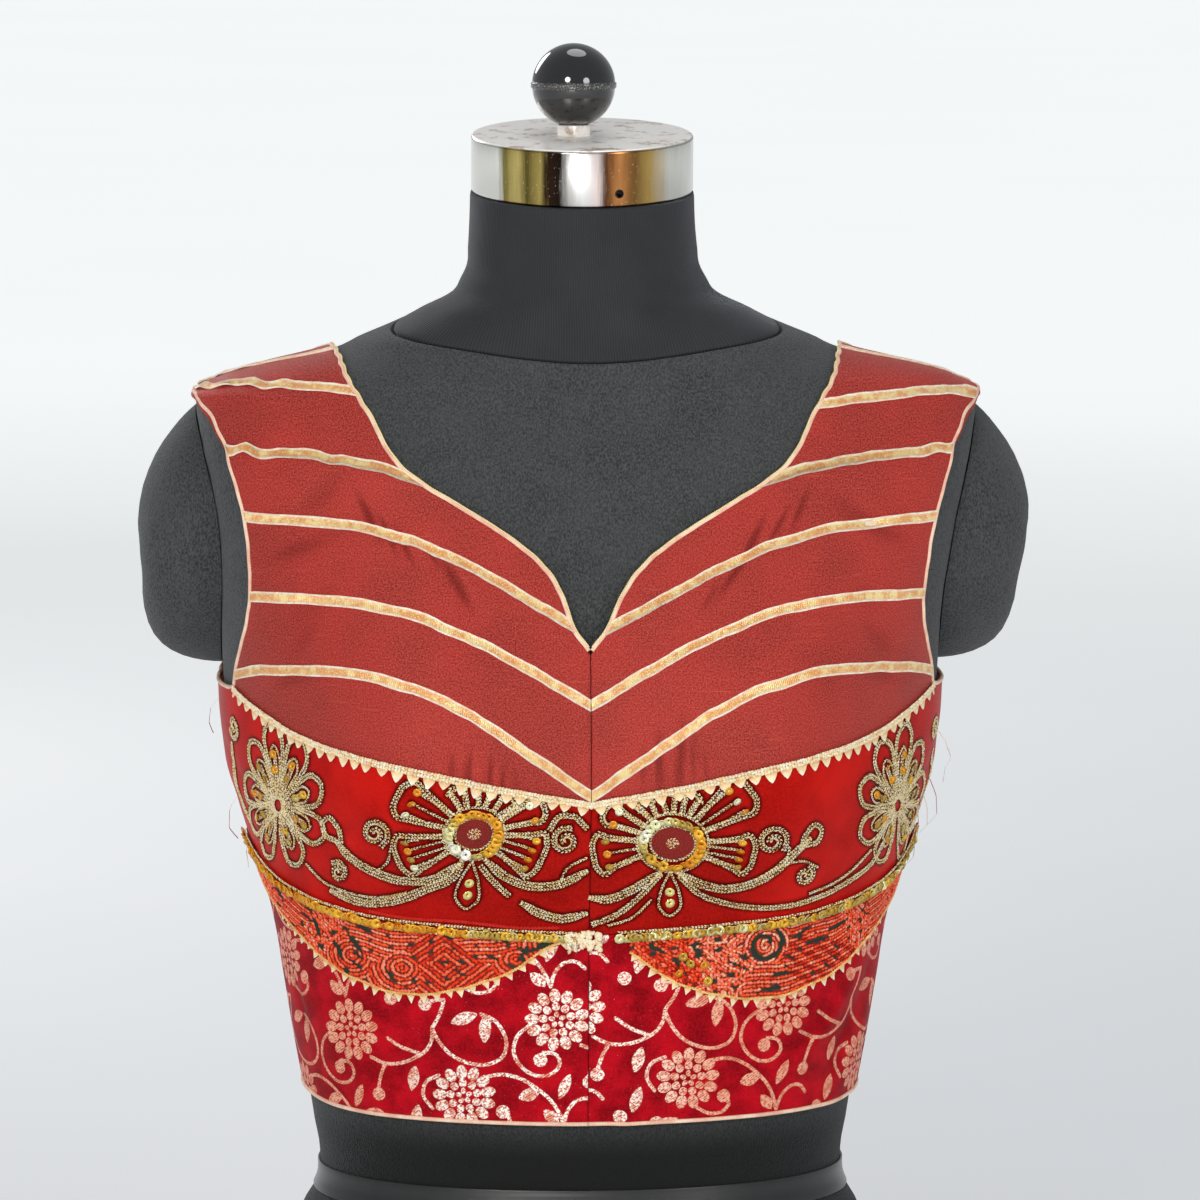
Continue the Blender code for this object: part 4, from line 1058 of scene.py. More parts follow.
enamel = Finish("black_enamel", roughness=0.08, specular_ior_level=0.6, coat_weight=0.6, coat_roughness=0.03)
rust = enamel.noise(enamel.solid(), 7.0, 4.0, 0.7).stepped(0.56, 0.72)
on_ridge = 1 - (enamel.axis(enamel.solid(), 2) - KNOB_HEIGHT).shaped("ABSOLUTE").stepped(1.2, 1.9)
# Pale flecks on the ridge are painted highlights for its rough glints. The same noise gives the ridge its
# bumps.
ridge_grit_and_glints = enamel.noise(enamel.solid(), 0.8, 4.0, 0.8)
black = enamel.mixed(rust * 0.4, (17, 17, 18), (50, 34, 24))
ENAMEL = enamel.set(Base_Color=enamel.mixed(on_ridge * ridge_grit_and_glints.stepped(0.5, 0.66), black, (170, 166, 160)),
                    Roughness=on_ridge * 0.45 + rust * 0.12 + 0.07,
                    Normal=enamel.relief(ridge_grit_and_glints * on_ridge, 0.35))
print("finishes:", METAL.name, ENAMEL.name)

# %% Solids from primitives
def added(name, kind, finish, **values):
    """One primitive, placed in millimetres, with its place put into its mesh."""
    bpy.ops.object.select_all(action="DESELECT")
    for key in values.keys() & {"radius", "depth", "location"}:
        values[key] = (np.array(values[key]) * MM).tolist()
    getattr(bpy.ops.mesh, f"primitive_{kind}_add")(**values)
    made = bpy.context.object
    made.name = name
    bpy.ops.object.transform_apply(location=True, rotation=True, scale=True)
    made.data.materials.append(finish)
    return made


def shaped_by(piece, kind, **values):
    """The piece, after one more modifier is applied to it."""
    modifier = piece.modifiers.new(kind.lower(), kind)
    for key, value in values.items():
        setattr(modifier, key, value)
    bpy.ops.object.select_all(action="DESELECT")
    piece.select_set(True)
    bpy.context.view_layer.objects.active = piece
    bpy.ops.object.modifier_apply(modifier=modifier.name)
    bpy.ops.object.shade_smooth_by_angle(angle=math.radians(30.0))


def edges_broken(piece, width, segments=4):
    shaped_by(piece, "BEVEL", width=MM * width, segments=segments, limit_method="ANGLE")


def combined(piece, other, operation):
    """The piece, with another solid joined to it or cut out of it."""
    shaped_by(piece, "BOOLEAN", object=other, operation=operation, solver="EXACT")
    bpy.data.objects.remove(other, do_unlink=True)


# %% Cap, collar and ball
middle = 0.5 * CAP_TALL
neck_cap = added("neck_cap", "cylinder", METAL, vertices=144, radius=CAP_RADIUS, depth=CAP_TALL,
                 location=(SWAY_AT_NECK, -middle * math.sin(CAP_LEAN), foot + middle * math.cos(CAP_LEAN)),
                 rotation=(CAP_LEAN, 0.0, 0.0))
edges_broken(neck_cap, 1.5)
combined(neck_cap, added("cutter", "cylinder", METAL, vertices=24, radius=SCREW_HOLE_RADIUS, depth=9.0,
                         location=hole_place, rotation=(math.pi / 2, 0.0, hole_turn)), "DIFFERENCE")
collar_foot = foot + CAP_TALL * math.cos(CAP_LEAN) - 1.5
knob_side, knob_back = KNOB_SIDE + SWAY_AT_NECK, -CAP_TALL * math.sin(CAP_LEAN)
collar = added("knob_collar", "cylinder", METAL, vertices=6, radius=COLLAR_RADIUS,
               depth=COLLAR_TOP - collar_foot,
               location=(knob_side, knob_back, 0.5 * (COLLAR_TOP + collar_foot)))
edges_broken(collar, 0.6, 3)
knob_place = (knob_side, knob_back, KNOB_HEIGHT)
ball = added("knob_ball", "uv_sphere", ENAMEL, segments=96, ring_count=56, radius=KNOB_RADIUS,
             location=knob_place)
ridge = added("ridge", "cylinder", ENAMEL, vertices=96, radius=RIDGE_RADIUS, depth=RIDGE_TALL,
              location=knob_place)
edges_broken(ridge, 0.5, 3)
combined(ball, ridge, "UNION")
print("cap, collar and ball:", [len(piece.data.polygons) for piece in (neck_cap, collar, ball)], "faces")
# %% [markdown]
# ## The cut of the blouse
# These tables are the edges of the pieces, as (angle, height) points on the wearer's left.
# Each piece stops short of a finished edge, where a rolled piping covers its raw edge.

# %% Edges
NECKLINE = ((94.5, 529.6), (89, 530.2), (84, 529.8), (78, 528), (72.3, 524.8), (67.6, 520.2),
            (64.3, 515), (60.8, 508.2), (55.5, 496.5),
            (51, 485.5), (46, 476.8), (39, 467.8), (27, 454.8), (19.5, 446.2), (14, 438.4),
            (9, 428), (6.5, 420), (4.2, 411), (1, 404), (-2.6, 396))
ARMHOLE = ((99.5, 507), (95.5, 508.3), (91.5, 508.9), (87.5, 508.6), (83.5, 504.5), (78, 494),
           (74.5, 480.5), (72.5, 467), (70.8, 452), (69.8, 438), (69.3, 425), (70, 413),
           (71.8, 400), (74.5, 386), (75.7, 377))
SHOULDER_SEAM = ((94.5, 529.6), (96, 522), (98, 515), (99.5, 507.5))
YOKE_HEM = ((0, 332.6), (20, 339.4), (32, 345.2), (41.5, 349.7), (50.5, 353.7),
            (60, 359.2), (65.5, 365), (70.5, 370.6), (75.7, 377))
BAND_HEM = ((0, 269), (20.5, 271), (37, 273.5), (50.5, 275.5), (58, 278),
            (69, 284), (75.5, 289.5), (82.5, 298), (90, 305))
BACK_NECKLINE = ((94.5, 529.6), (113, 518), (126, 502), (141, 484), (160, 468), (171, 463.2),
                 (180, 462))
BACK_ARMHOLE = ((99.5, 507.5), (107, 495), (113, 478), (116.5, 458), (117.5, 438),
                (116, 418), (111.5, 398), (104, 384), (96, 378))
BACK_BAND_HEM = ((90, 305), (120, 299), (180, 296))
SETBACK, HEM_HEIGHT, UNDERARM_HEIGHT = 1.7, 178.2, 377.0
SEAM_HALF = 0.15
HEM_RISE, HEM_SAG = {"l": 3.5, "r": 5.5}, 0.7
CENTRE_ANGLE, SIDE_ANGLE = 0.1, 89.93
UNDERARM_CUT = UNDERARM_HEIGHT - SETBACK
SIDES = (("l", 1.0), ("r", -1.0))


def height_at(points, angles):
    stations, heights = np.array(points).T
    return smooth(stations, heights, angles)


def hem_at(angles):
    """The hem lifts a little over the hips at the sides and sags at the centre front."""
    angles = (np.asarray(angles, float) + 180) % 360 - 180
    rise = np.where(angles < 0, HEM_RISE["r"], HEM_RISE["l"])
    lifted = rise * np.exp(-((abs(angles) - 92) / 17) ** 2)
    return HEM_HEIGHT + lifted - HEM_SAG * np.exp(-(angles / 30) ** 2)


def cut_edge(points, distance, count=81):
    return stacked(*moved_across(*along(points, np.linspace(0.0, 1.0, count)), distance))


def where_it_turns(edge, angle):
    """The part of an edge that lies beyond an angle, ended exactly on it."""
    kept = edge[edge[:, 0] > angle]
    last, following = kept[-1], edge[len(kept)]
    share = (angle - last[0]) / (following[0] - last[0])
    return np.vstack([kept, last + share * (following - last)])


def patch(top, bottom, left, right):
    """Angles and heights between four edges, each a line of (angle, height) points."""
    u, v = np.linspace(0, 1, len(top))[None, :, None], np.linspace(0, 1, len(left))[:, None, None]
    corners = ((1 - u) * (1 - v) * top[0] + u * (1 - v) * top[-1]
               + (1 - u) * v * bottom[0] + u * v * bottom[-1])
    grid = (1 - u) * left[:, None] + u * right[:, None] + (1 - v) * top[None] + v * bottom[None] - corners
    return grid[..., 0], grid[..., 1]


NECK_CUT = where_it_turns(cut_edge(NECKLINE, -SETBACK), CENTRE_ANGLE)
ARMHOLE_CUT = cut_edge(ARMHOLE, SETBACK)
V_HEIGHT = NECK_CUT[-1, 1]
hem_angles = np.linspace(60.0, 82.0, 441)
low_angles, low_heights = ARMHOLE_CUT[:-41:-1].T
on_armhole = np.interp(height_at(YOKE_HEM, np.minimum(hem_angles, 75.7)), low_heights, low_angles)
CORNER_ANGLE = float(hem_angles[hem_angles < on_armhole][-1])
print("yoke: point of the V at", round(float(V_HEIGHT), 1), "and corner at", round(CORNER_ANGLE, 1))

# %% [markdown]
# ## The yoke
# The yoke is maroon silk with a slubby weft, cut in two cups that meet at the centre front.
# It creases where the neckline pulls, dents at the armholes, and puckers where the lace
# gathers it in. The same silk makes the back yoke, with a plain scooped neck.

# %% Maroon silk
silk = Finish("maroon_silk", roughness=0.42, specular_ior_level=0.35, specular_tint=(1.0, 0.35, 0.28, 1.0),
              sheen_weight=0.1, sheen_roughness=0.35, sheen_tint=(1.0, 0.4, 0.28, 1.0))
weft = silk.noise(silk.flat((0.12, 1.0, 1.0)), 0.62, 3.0, 0.62)
warp = silk.noise(silk.flat((1.0, 0.1, 1.0)), 0.55, 2.0, 0.5)
slubs = silk.noise(silk.flat((0.05, 0.85, 1.0)), 1.1, 2.0, 0.5).stepped(0.6, 0.8)
speckle = silk.noise(silk.flat(), 0.7, 2.0, 0.7).stepped(0.3, 0.7)
cloud = silk.noise(silk.solid(), 34.0, 3.0).stepped(0.32, 0.68)
threads = silk.mixed(cloud, (108, 16, 16), (140, 26, 25))
# The last colour is painted shade, laid into the creases.
for share, thread_colour in (
        (speckle * 0.75, (206, 84, 74)), (weft.stepped(0.55, 0.75) * 0.4, (190, 70, 56)),
        (warp.stepped(0.55, 0.8) * 0.35, (108, 16, 18)), (slubs * 0.3, (206, 96, 72)),
        (silk.field("sunk"), (86, 10, 12))):
    threads = silk.mixed(share, threads, thread_colour)
SILK = silk.set(Base_Color=threads, Roughness=0.52 - slubs * 0.16,
                Normal=silk.relief(weft * 0.6 + warp * 0.25 + slubs * 0.3 + speckle * 0.2, 0.16))
print("silk:", SILK.name)

# %% Front yokes
YOKE_STEP = 1.6
seam = line_of(SHOULDER_SEAM, np.linspace(0, 1, 81))
seam = stacked(*moved_across(*seam.T, SEAM_HALF))[2:-2]
centre = np.array([(CENTRE_ANGLE, V_HEIGHT), (CENTRE_ANGLE, float(height_at(YOKE_HEM, CENTRE_ANGLE)))])
hem_line = np.linspace(CENTRE_ANGLE, CORNER_ANGLE, 101)
hem_line = stacked(hem_line, height_at(YOKE_HEM, hem_line) + SEAM_HALF)
armhole = ARMHOLE_CUT[2:]
armhole = np.vstack([armhole[armhole[:, 1] > hem_line[-1, 1]], hem_line[-1]])
across, down_neck = spaced(150.0, YOKE_STEP), spaced(205.0, YOKE_STEP)
left = np.vstack([line_of(NECK_CUT[2:], down_neck), line_of(centre, np.linspace(0, 1, 4 * 11 + 1)[1:])])
top = line_of(np.vstack([left[:1], seam[2:-1], armhole[:1]]), across)
right = line_of(armhole, np.linspace(0, 1, len(left)))
yoke_angles, yoke_heights = patch(top, line_of(hem_line, across), left, right)
yokes = [shell("yoke_cloth_" + side_name, [(side * yoke_angles, yoke_heights)], SILK)
         for side_name, side in SIDES]
print("yoke:", yoke_angles.shape, len(yokes[0].data.polygons), "faces")
# %% [markdown]
# ## Gold ribbons
# Narrow tapes of gold thread are sewn across each cup, six to a side. A tape has a raised
# pale cord along each edge and a sunken foil middle, crossed by fine ribs. A real tape is
# laid by hand, so it wanders a little and its edges are never quite parallel.

# %% Gold tape finish
gold = Finish("gold_tape", roughness=0.36, metallic=0.2)
edge_share = gold.field("edge")
fine_ribs = gold.waves(gold.flat(), 0.95)
glints = gold.cells(gold.solid(), 0.95)
patches = gold.noise(gold.solid(), 6.5, 3.0, 0.6).stepped(0.42, 0.62)
foil = gold.mixed(patches, (240, 172, 98), (255, 232, 160))
foil = gold.mixed(fine_ribs * 0.3, foil, (206, 124, 62))
foil = gold.mixed((1 - glints.stepped(0.15, 0.4)) * 0.6, foil, (255, 252, 228))
cord_patches = gold.noise(gold.solid(), 3.0, 2.0).stepped(0.3, 0.7)
pale_cord = gold.mixed(cord_patches, (250, 214, 184), (255, 250, 234))
GOLD = gold.set(Base_Color=gold.mixed(edge_share, foil, pale_cord), Metallic=0.3 - edge_share * 0.25,
                Roughness=0.3 + edge_share * 0.25, Normal=gold.relief(fine_ribs + glints, 0.2))
print("gold tape:", GOLD.name)

# %% Ribbon lines
RIBBON_WIDTH, RIBBON_STEP, RIBBON_DRAWN_ON = 5.0, 0.9, 4.0
RIBBONS = (
    # name, points on the wearer's left, and on the right where they differ
    ("shoulder", ((82.5, 530), (86.5, 524.5), (91, 517), (95.5, 508.6)), None),
    ("one", ((60.2, 507.3), (70, 509.9), (78, 510.8), (86.3, 507.3)),
     ((63, 513.2), (70, 515), (78, 514.6), (88.5, 509.9))),
    ("two", ((46, 475.6), (56.5, 481.8), (66, 484.8), (76.2, 487.2)),
     ((46, 476), (56.5, 483), (66, 486), (76.2, 487.5))),
    ("three", ((4.2, 409.8), (19.5, 423.6), (36, 439.4), (47, 448.8), (57.5, 454.4), (71.3, 456.6)),
     ((4.2, 411), (19.5, 425.5), (36, 441.5), (47, 450.8), (57.5, 456.3), (71.3, 457.5))),
    ("four", ((0, 377), (19, 396), (35.5, 411.3), (46.5, 419.6), (58, 422.4), (69.4, 421.5)), None),
    ("five", ((0, 336.8), (19.5, 361), (32, 377), (43, 387), (52, 391), (64, 389),
              (75.3, 382.5)), None),
)
HALF_SECTION = (
    # share of the half width, lift, how far it belongs to the edge cord
    (0.36, 0.34, 0.0), (0.62, 0.38, 0.3), (0.70, 0.62, 1.0), (0.84, 0.78, 1.0), (0.96, 0.62, 1.0),
    (1.0, 0.3, 1.0), (0.92, -0.05, 1.0),
)
RIBBON_SECTION = (*((-share, *rest) for share, *rest in HALF_SECTION[::-1]), (0.0, 0.36, 0.0), *HALF_SECTION)
INNER_EDGE = np.vstack([NECK_CUT, (CENTRE_ANGLE, V_HEIGHT - 0.01), (CENTRE_ANGLE, 300.0)])


def crossing(line, edge):
    """Where a line crosses an edge, counted in points along the line."""
    start, step = line[:-1, None], np.diff(line, axis=0)[:, None]
    edge_start, edge_step = edge[None, :-1], np.diff(edge, axis=0)[None]

    def turned(first, second):
        return first[..., 0] * second[..., 1] - first[..., 1] * second[..., 0]

    spread = turned(step, edge_step)
    spread = np.where(spread == 0, 1e-9, spread)
    between_starts = edge_start - start
    on_line, on_edge = turned(between_starts, edge_step) / spread, turned(between_starts, step) / spread
    hits = np.argwhere((on_line >= 0) & (on_line < 1) & (on_edge >= 0) & (on_edge <= 1))
    return [number + on_line[number, other] for number, other in hits]


DRAWN_ON_POINTS = 12


def between_edges(angles, heights, count):
    """A line drawn on at both ends and cut off at the neckline or centre, and at the armhole."""
    line = stacked(angles, heights)
    further = RIBBON_DRAWN_ON * np.linspace(1, 0.1, DRAWN_ON_POINTS)[:, None]
    line = np.vstack([line[0] + further * (line[0] - line[1]), line,
                      line[-1] + further[::-1] * (line[-1] - line[-2])])
    middle = 0.5 * (len(line) - 1)
    starts = [mark for mark in crossing(line, INNER_EDGE) if mark < middle]
    ends = [mark for mark in crossing(line, ARMHOLE_CUT) if mark > middle]
    first = max(starts, default=DRAWN_ON_POINTS)
    last = min(ends, default=len(line) - 1 - DRAWN_ON_POINTS)
    marks, numbers = np.linspace(first, last, count), np.arange(len(line))
    return [np.interp(marks, numbers, column) for column in line.T]


def wander(run, seed, size):
    """A slow uneven waver along a line."""
    waves = ((31.0, 0.5), (17.0, 0.3), (8.5, 0.22), (4.7, 0.1))
    return size * sum(share * np.sin(2 * math.pi * run / length + seed * (2.1 + length))
                      for length, share in waves)


RUMPLED = {"gold_tape_one_r": 1.3, "gold_tape_two_r": 1.2, "gold_tape_shoulder_r": 0.7,
           "gold_tape_two_l": 0.6}


def ribbon(name, points, side, seed):
    angles, heights = along(points, np.linspace(0.0, 1.0, 40))
    length = float(run_along(body_point(angles, heights))[-1])
    count = max(12, round(length / RIBBON_STEP))
    run, steps = np.linspace(0, length, 40), np.linspace(0, length, count)
    rumple = RUMPLED.get(name, 0.15) * np.clip(run / length * 1.6 - 0.3, 0, 1)
    lanes = []
    for number, (share, lift, _) in enumerate(RIBBON_SECTION):
        waver = wander(run, seed, 0.28) + share * wander(run, seed + 3.3, 0.16)
        waver = waver + rumple * np.sin(run / 3.6 + 1.2 * np.sin(run / 7.0))
        lane = between_edges(*moved_across(angles, heights, share * 0.5 * RIBBON_WIDTH + waver), count)
        uneven = wander(steps, seed + number * 0.37, 0.07)
        ruffle = 0.7 * np.interp(steps, run, rumple) * (1 + np.sin(steps / 2.4 + 1.5 * share)) * 0.5
        lanes.append(on_cloth(side * lane[0], lane[1], lift + uneven + ruffle))
    edge = np.tile([belongs for _, _, belongs in RIBBON_SECTION], count)
    return strip(name, lanes, GOLD, fields={"edge": edge}), length


ribbons = {}
for number, (name, left_points, right_points) in enumerate(RIBBONS):
    for (side_name, side), points in zip(SIDES, (left_points, right_points or left_points)):
        made, length = ribbon(f"gold_tape_{name}_{side_name}", points, side, number + 0.5 * side)
        ribbons[made.name] = (made, f"ribbon_{name}_{side_name}", length)
print(len(ribbons), "ribbons,", round(sum(entry[2] for entry in ribbons.values())), "mm in all")
# %% [markdown]
# ## The satin band
# Below the bust runs a band of red satin. Its embroidery is worked in gold chain stitch,
# two to four chains side by side, with a flower under each cup, a fan at each side, and
# curling stems between them. Sequins fill the flowers.

# %% Red satin
satin = Finish("red_satin", roughness=0.32, specular_ior_level=0.06, specular_tint=(1.0, 0.16, 0.1, 1.0))
satin_weft = satin.noise(satin.flat((0.06, 1.0, 1.0)), 0.45, 2.0, 0.6)
satin_cloud = satin.noise(satin.solid((1.0, 1.0, 0.6)), 20.0, 3.0).stepped(0.3, 0.7)
from_centre = satin.axis(satin.flat()).shaped("ABSOLUTE")
satin_grain = satin.noise(satin.flat(), 1.2, 3.0, 0.8).stepped(0.35, 0.65)
satin_red = satin.mixed(satin_cloud, (158, 7, 6), (196, 20, 16))
satin_dark = satin.mixed(satin_cloud, (118, 3, 4), (152, 12, 11))
satin_red = satin.mixed(from_centre.stepped(50.0, 100.0), satin_dark, satin_red)
satin_red = satin.mixed(satin_weft * 0.2 + satin_grain * 0.3, satin_red, (206, 40, 30))
# Next to the cords the satin is painted almost black: painted shadow of the cords. In creases it is painted
# darker: painted shade.
satin_red = satin.mixed(satin.field("stitched") * 0.92, satin_red, (52, 2, 2))
SATIN = satin.set(Base_Color=satin.mixed(satin.field("sunk"), satin_red, (80, 2, 3)),
                  Roughness=0.3 + satin_weft * 0.2, Normal=satin.relief(satin_weft, 0.07))
print("satin:", SATIN.name)

# %% Band lines
def between(top, bottom, shares):
    return top[None, :] + (bottom - top)[None, :] * shares[:, None]


def band_top(angles):
    hem = height_at(YOKE_HEM, np.minimum(angles, CORNER_ANGLE))
    under_arm = np.interp(angles, (CORNER_ANGLE, SIDE_ANGLE), (hem[-1], UNDERARM_CUT))
    return np.where(angles > CORNER_ANGLE, under_arm, hem) - SEAM_HALF


def front_grid(top, bottom, width, height, step):
    """Angles and heights for a front panel that runs from the centre to the side seam."""
    columns = CENTRE_ANGLE + (SIDE_ANGLE - CENTRE_ANGLE) * spaced(width, step)
    heights = between(top(columns), bottom(columns), spaced(height, step))
    return np.broadcast_to(columns, heights.shape), heights


# %% Gold thread
zari = Finish("gold_thread", roughness=0.34, metallic=0.1, specular_ior_level=0.8,
              specular_tint=(1.0, 0.92, 0.7, 1.0))
strand = zari.noise(zari.solid(), 0.5, 2.0)
thread_colour = zari.ramp(
    zari.field("tone"), (0.0, (84, 36, 12)), (0.2, (176, 120, 56)), (0.42, (242, 204, 130)),
    (0.66, (255, 240, 184)), (1.0, (255, 255, 238)))
ZARI = zari.set(Base_Color=zari.mixed(strand * 0.25, thread_colour, (120, 76, 36)),
                Normal=zari.relief(strand, 0.1))

GRAIN = spindle(4, 0.2)
CHAIN_STEP, CHAIN_LEAN, CHAIN_SIDE, CHAIN_TONE = 1.4, 24.0, 0.28, 0.62
GRAIN_SIZE = (1.8, 0.52, 0.62)
CORD_LIFT = 0.3
ROW_APART, TAPER = 1.5, 10.0


def chain(line, rng):
    """One chain of stitches along a drawn line: two leaning grains for each step."""
    way, side = flat_frame(line)
    flats, ways, tones = [], [], []
    for hand in (1.0, -1.0):
        lean = math.radians(CHAIN_LEAN) * hand
        flats.append(line + side * (hand * CHAIN_SIDE) + rng.normal(0, 0.07, line.shape))
        ways.append(way * math.cos(lean) - side * math.sin(lean))
        # The grains are painted lighter and darker by turns along the chain: painted light and shade of the
        # twist.
        twisted = 0.2 * np.cos(np.arange(len(line)) * math.pi + (0.6 if hand > 0 else 2.0))
        tones.append(np.clip(CHAIN_TONE + twisted + rng.normal(0, 0.24, len(line)), 0, 1))
    return np.vstack(flats), np.vstack(ways), np.concatenate(tones)


def chain_lines(drawings):
    """The line of every chain. A drawing is (points, rows, closed); three rows or more taper at the ends."""
    lines = []
    for points, rows, closed in drawings:
        line = flat_line(points, CHAIN_STEP, closed)
        if len(line) < 3:
            continue
        side = flat_frame(line)[1]
        to_end = np.minimum(np.arange(len(line)), np.arange(len(line))[::-1]) * CHAIN_STEP
        spread = np.minimum(1.0, 0.35 + to_end / TAPER) if rows > 2 else np.ones(len(line))
        lines += [line + side * (spread * (row - 0.5 * (rows - 1)) * ROW_APART)[:, None]
                  for row in range(rows)]
    return lines


def cords(name, drawings, finish, lift=CORD_LIFT, size=GRAIN_SIZE, key="tone"):
    """All the chains of a drawing as one mesh."""
    rng = np.random.default_rng(len(drawings))
    chains = [chain(line, rng) for line in chain_lines(drawings)]
    flats, ways, tones = (np.concatenate(parts) for parts in zip(*chains))
    sizes = np.broadcast_to(np.array(size), (len(flats), 3))
    return grains_on_cloth(name, GRAIN, flats, ways, sizes, lift, finish, {key: tones})


# %% The drawing of the embroidery
# Each flower is a ring of sequins with a boxy petal to each side, smaller petals above, a
# teardrop below, and rays inside the petals that end in sequins. Stems are drawn as (arc,
# height) points, with the number of chains that lie side by side.
def both_sides(half, tip):
    """An outline from its left half and its tip."""
    return [*half, tip, *((across, -up) for across, up in half[::-1])]


def box_petal(centre, lean, root, reach, half, rays=4):
    """A rounded boxy petal that leans from the flower's centre, and the rays inside it."""
    outline = both_sides([(root, 0.35 * half), (0.6 * (root + reach), 0.85 * half),
                          (0.9 * reach, 0.95 * half), (reach, 0.6 * half)], (1.02 * reach, 0.0))
    inside = [turned_to([(root, place * 0.9 * half), (0.84 * reach, place * 1.2 * half)], centre, lean)
              for place in np.linspace(-0.5, 0.5, rays)]
    lines = [(turned_to(outline, centre, lean), 2, False), *((ray, 1, False) for ray in inside)]
    return lines, [ray[-1] for ray in inside]


def teardrop(foot, lean, length, half):
    outline = both_sides([(0.0, 0.25), (0.45 * length, 0.8 * half), (0.8 * length, 0.9 * half)],
                         (length, 0.0))
    return [(turned_to(outline, foot, lean), 1, False)]


def fan(centre, size, leans):
    """A side flower of looped petals, each with a smaller loop inside it."""
    lines = []
    for lean, share in leans:
        reach = size * share
        foot = turned_to([(0.16 * size, 0.0)], centre, lean)[0]
        loop = both_sides([(0.0, 0.3), (0.5 * reach, 0.2 * size), (0.86 * reach, 0.2 * size)], (reach, 0.0))
        lines.append((turned_to(loop, foot, lean), 2, False))
        lines.append((turned_to(np.array(loop) * (0.68, 0.5), foot, lean), 1, False))
        lines.append((turned_to([(0.14 * reach, 0.0), (0.56 * reach, 0.0)], foot, lean), 2, False))
    return lines


FLOWERS = {
    # side: centre, disc half sizes, ring half sizes
    "r": ((-53.5, 321), (8.3, 7.5), (13.8, 12.8)),
    "l": ((37.5, 315.5), (10, 8.2), (16.2, 14.2)),
}
PETALS = {
    # side: lean from the centre, root, reach, half width, rays
    "r": ((-22, 13, 33, 12, 4), (200, 13, 36, 11, 4), (152, 13.5, 38, 9.5, 3),
          (112, 14, 23, 4.5, 2), (78, 14, 21, 4.5, 2), (45, 14, 23, 5, 2),
          (20, 13.5, 33, 6, 2)),
    "l": ((-10, 15.5, 36.5, 10.5, 4), (190, 15.5, 36, 10.5, 3), (155, 15, 34, 5.5, 2),
          (125, 15, 24, 4.5, 2), (95, 15, 23, 4.5, 2), (68, 15, 25, 4.5, 2),
          (36, 15.5, 42, 9.5, 3)),
}
STEMS = {
    "r": (
        (((-58, 309), (-62, 300), (-74, 293), (-88, 286.5), (-103, 283.5), (-124, 287.5)), 3),
        (((-84, 290.5), (-98, 287), (-114, 288), (-128, 291.5), (-140, 299)), 1),
        (((-60, 306), (-72, 298), (-86, 296.5), (-99, 300), (-112, 306), (-121, 313)), 3),
        (((-121, 313), (-128.5, 316), (-130, 321.5), (-126, 324.5), (-120.5, 320), (-118, 313)), 2),
        (((-99, 300), (-92.5, 306), (-91, 313)), 1),
        (((-48, 308), (-38, 299), (-27, 294.5), (-15, 295), (-1.5, 301.5)), 3),
        (((-14, 295.5), (-11, 302.5), (-2, 308)), 1),
        (((-19, 322), (-15, 328), (-8, 328), (-2, 322.5)), 2),
        (((-31, 286), (-22, 280.5), (-12, 278), (-1.5, 280.5)), 3),
        (((-50, 305), (-44, 297), (-37, 290)), 2),
        (((-192, 312), (-204, 322), (-211, 336), (-209, 350)), 3),
    ),
    "l": (
        (((40, 301), (51, 295), (61, 292.5), (72, 294), (84, 300), (94, 309), (102, 315.5)), 3),
        (((100, 312.5), (106.5, 313.5), (109, 318.5), (104.5, 322), (99.5, 318), (97, 311)), 2),
        (((76, 296.5), (88, 303), (98, 304.5), (107, 300.5)), 1),
        (((84, 300), (90, 306), (91, 312)), 1),
        (((41, 299), (50, 290), (62, 285), (76, 282), (92, 281.5), (110, 284.5), (128, 290),
          (146, 297.5), (156, 307)), 2),
        (((104, 287), (118, 290.5), (132, 296.5), (144, 304)), 1),
        (((0, 288.5), (8, 287.5), (18, 291.5), (32, 301)), 3),
        (((1.5, 275), (12, 279.5), (21, 287), (32, 300)), 2),
        (((9, 274.5), (19, 278), (28, 287)), 1),
        (((188, 308), (203, 315), (213, 328), (215, 344)), 3),
    ),
}
SCROLLS = {
    # side: centre, size, turns, start, hand
    "r": (((-99, 320), 7.2, 1.6, -60, 1), ((-119.5, 298), 5.4, 1.4, 130, -1),
          ((-11.5, 316.5), 6.6, 1.4, 70, 1), ((-204, 358), 6, 1.3, 200, 1)),
    "l": (((82.5, 316), 7.6, 1.6, -40, 1), ((100, 297), 5.2, 1.3, 60, -1),
          ((210, 354), 6, 1.3, -20, 1)),
}
FANS = {
    "r": ((-163, 326), 31, ((-58, 0.9), (-18, 1), (22, 0.95), (60, 1.05), (96, 1.1), (132, 1),
                                  (170, 0.95), (206, 0.9), (244, 0.85))),
    "l": ((168, 323), 31, ((-62, 0.9), (-24, 0.9), (12, 0.95), (48, 1), (84, 1.1), (120, 1.05),
                                 (158, 1), (198, 0.95), (236, 0.85))),
}
TEARDROPS = {"r": ((-54, 307), 264, 24, 5.5), "l": ((36.5, 301), 270, 22, 5.2)}
SEQUIN_REACH = 30.0


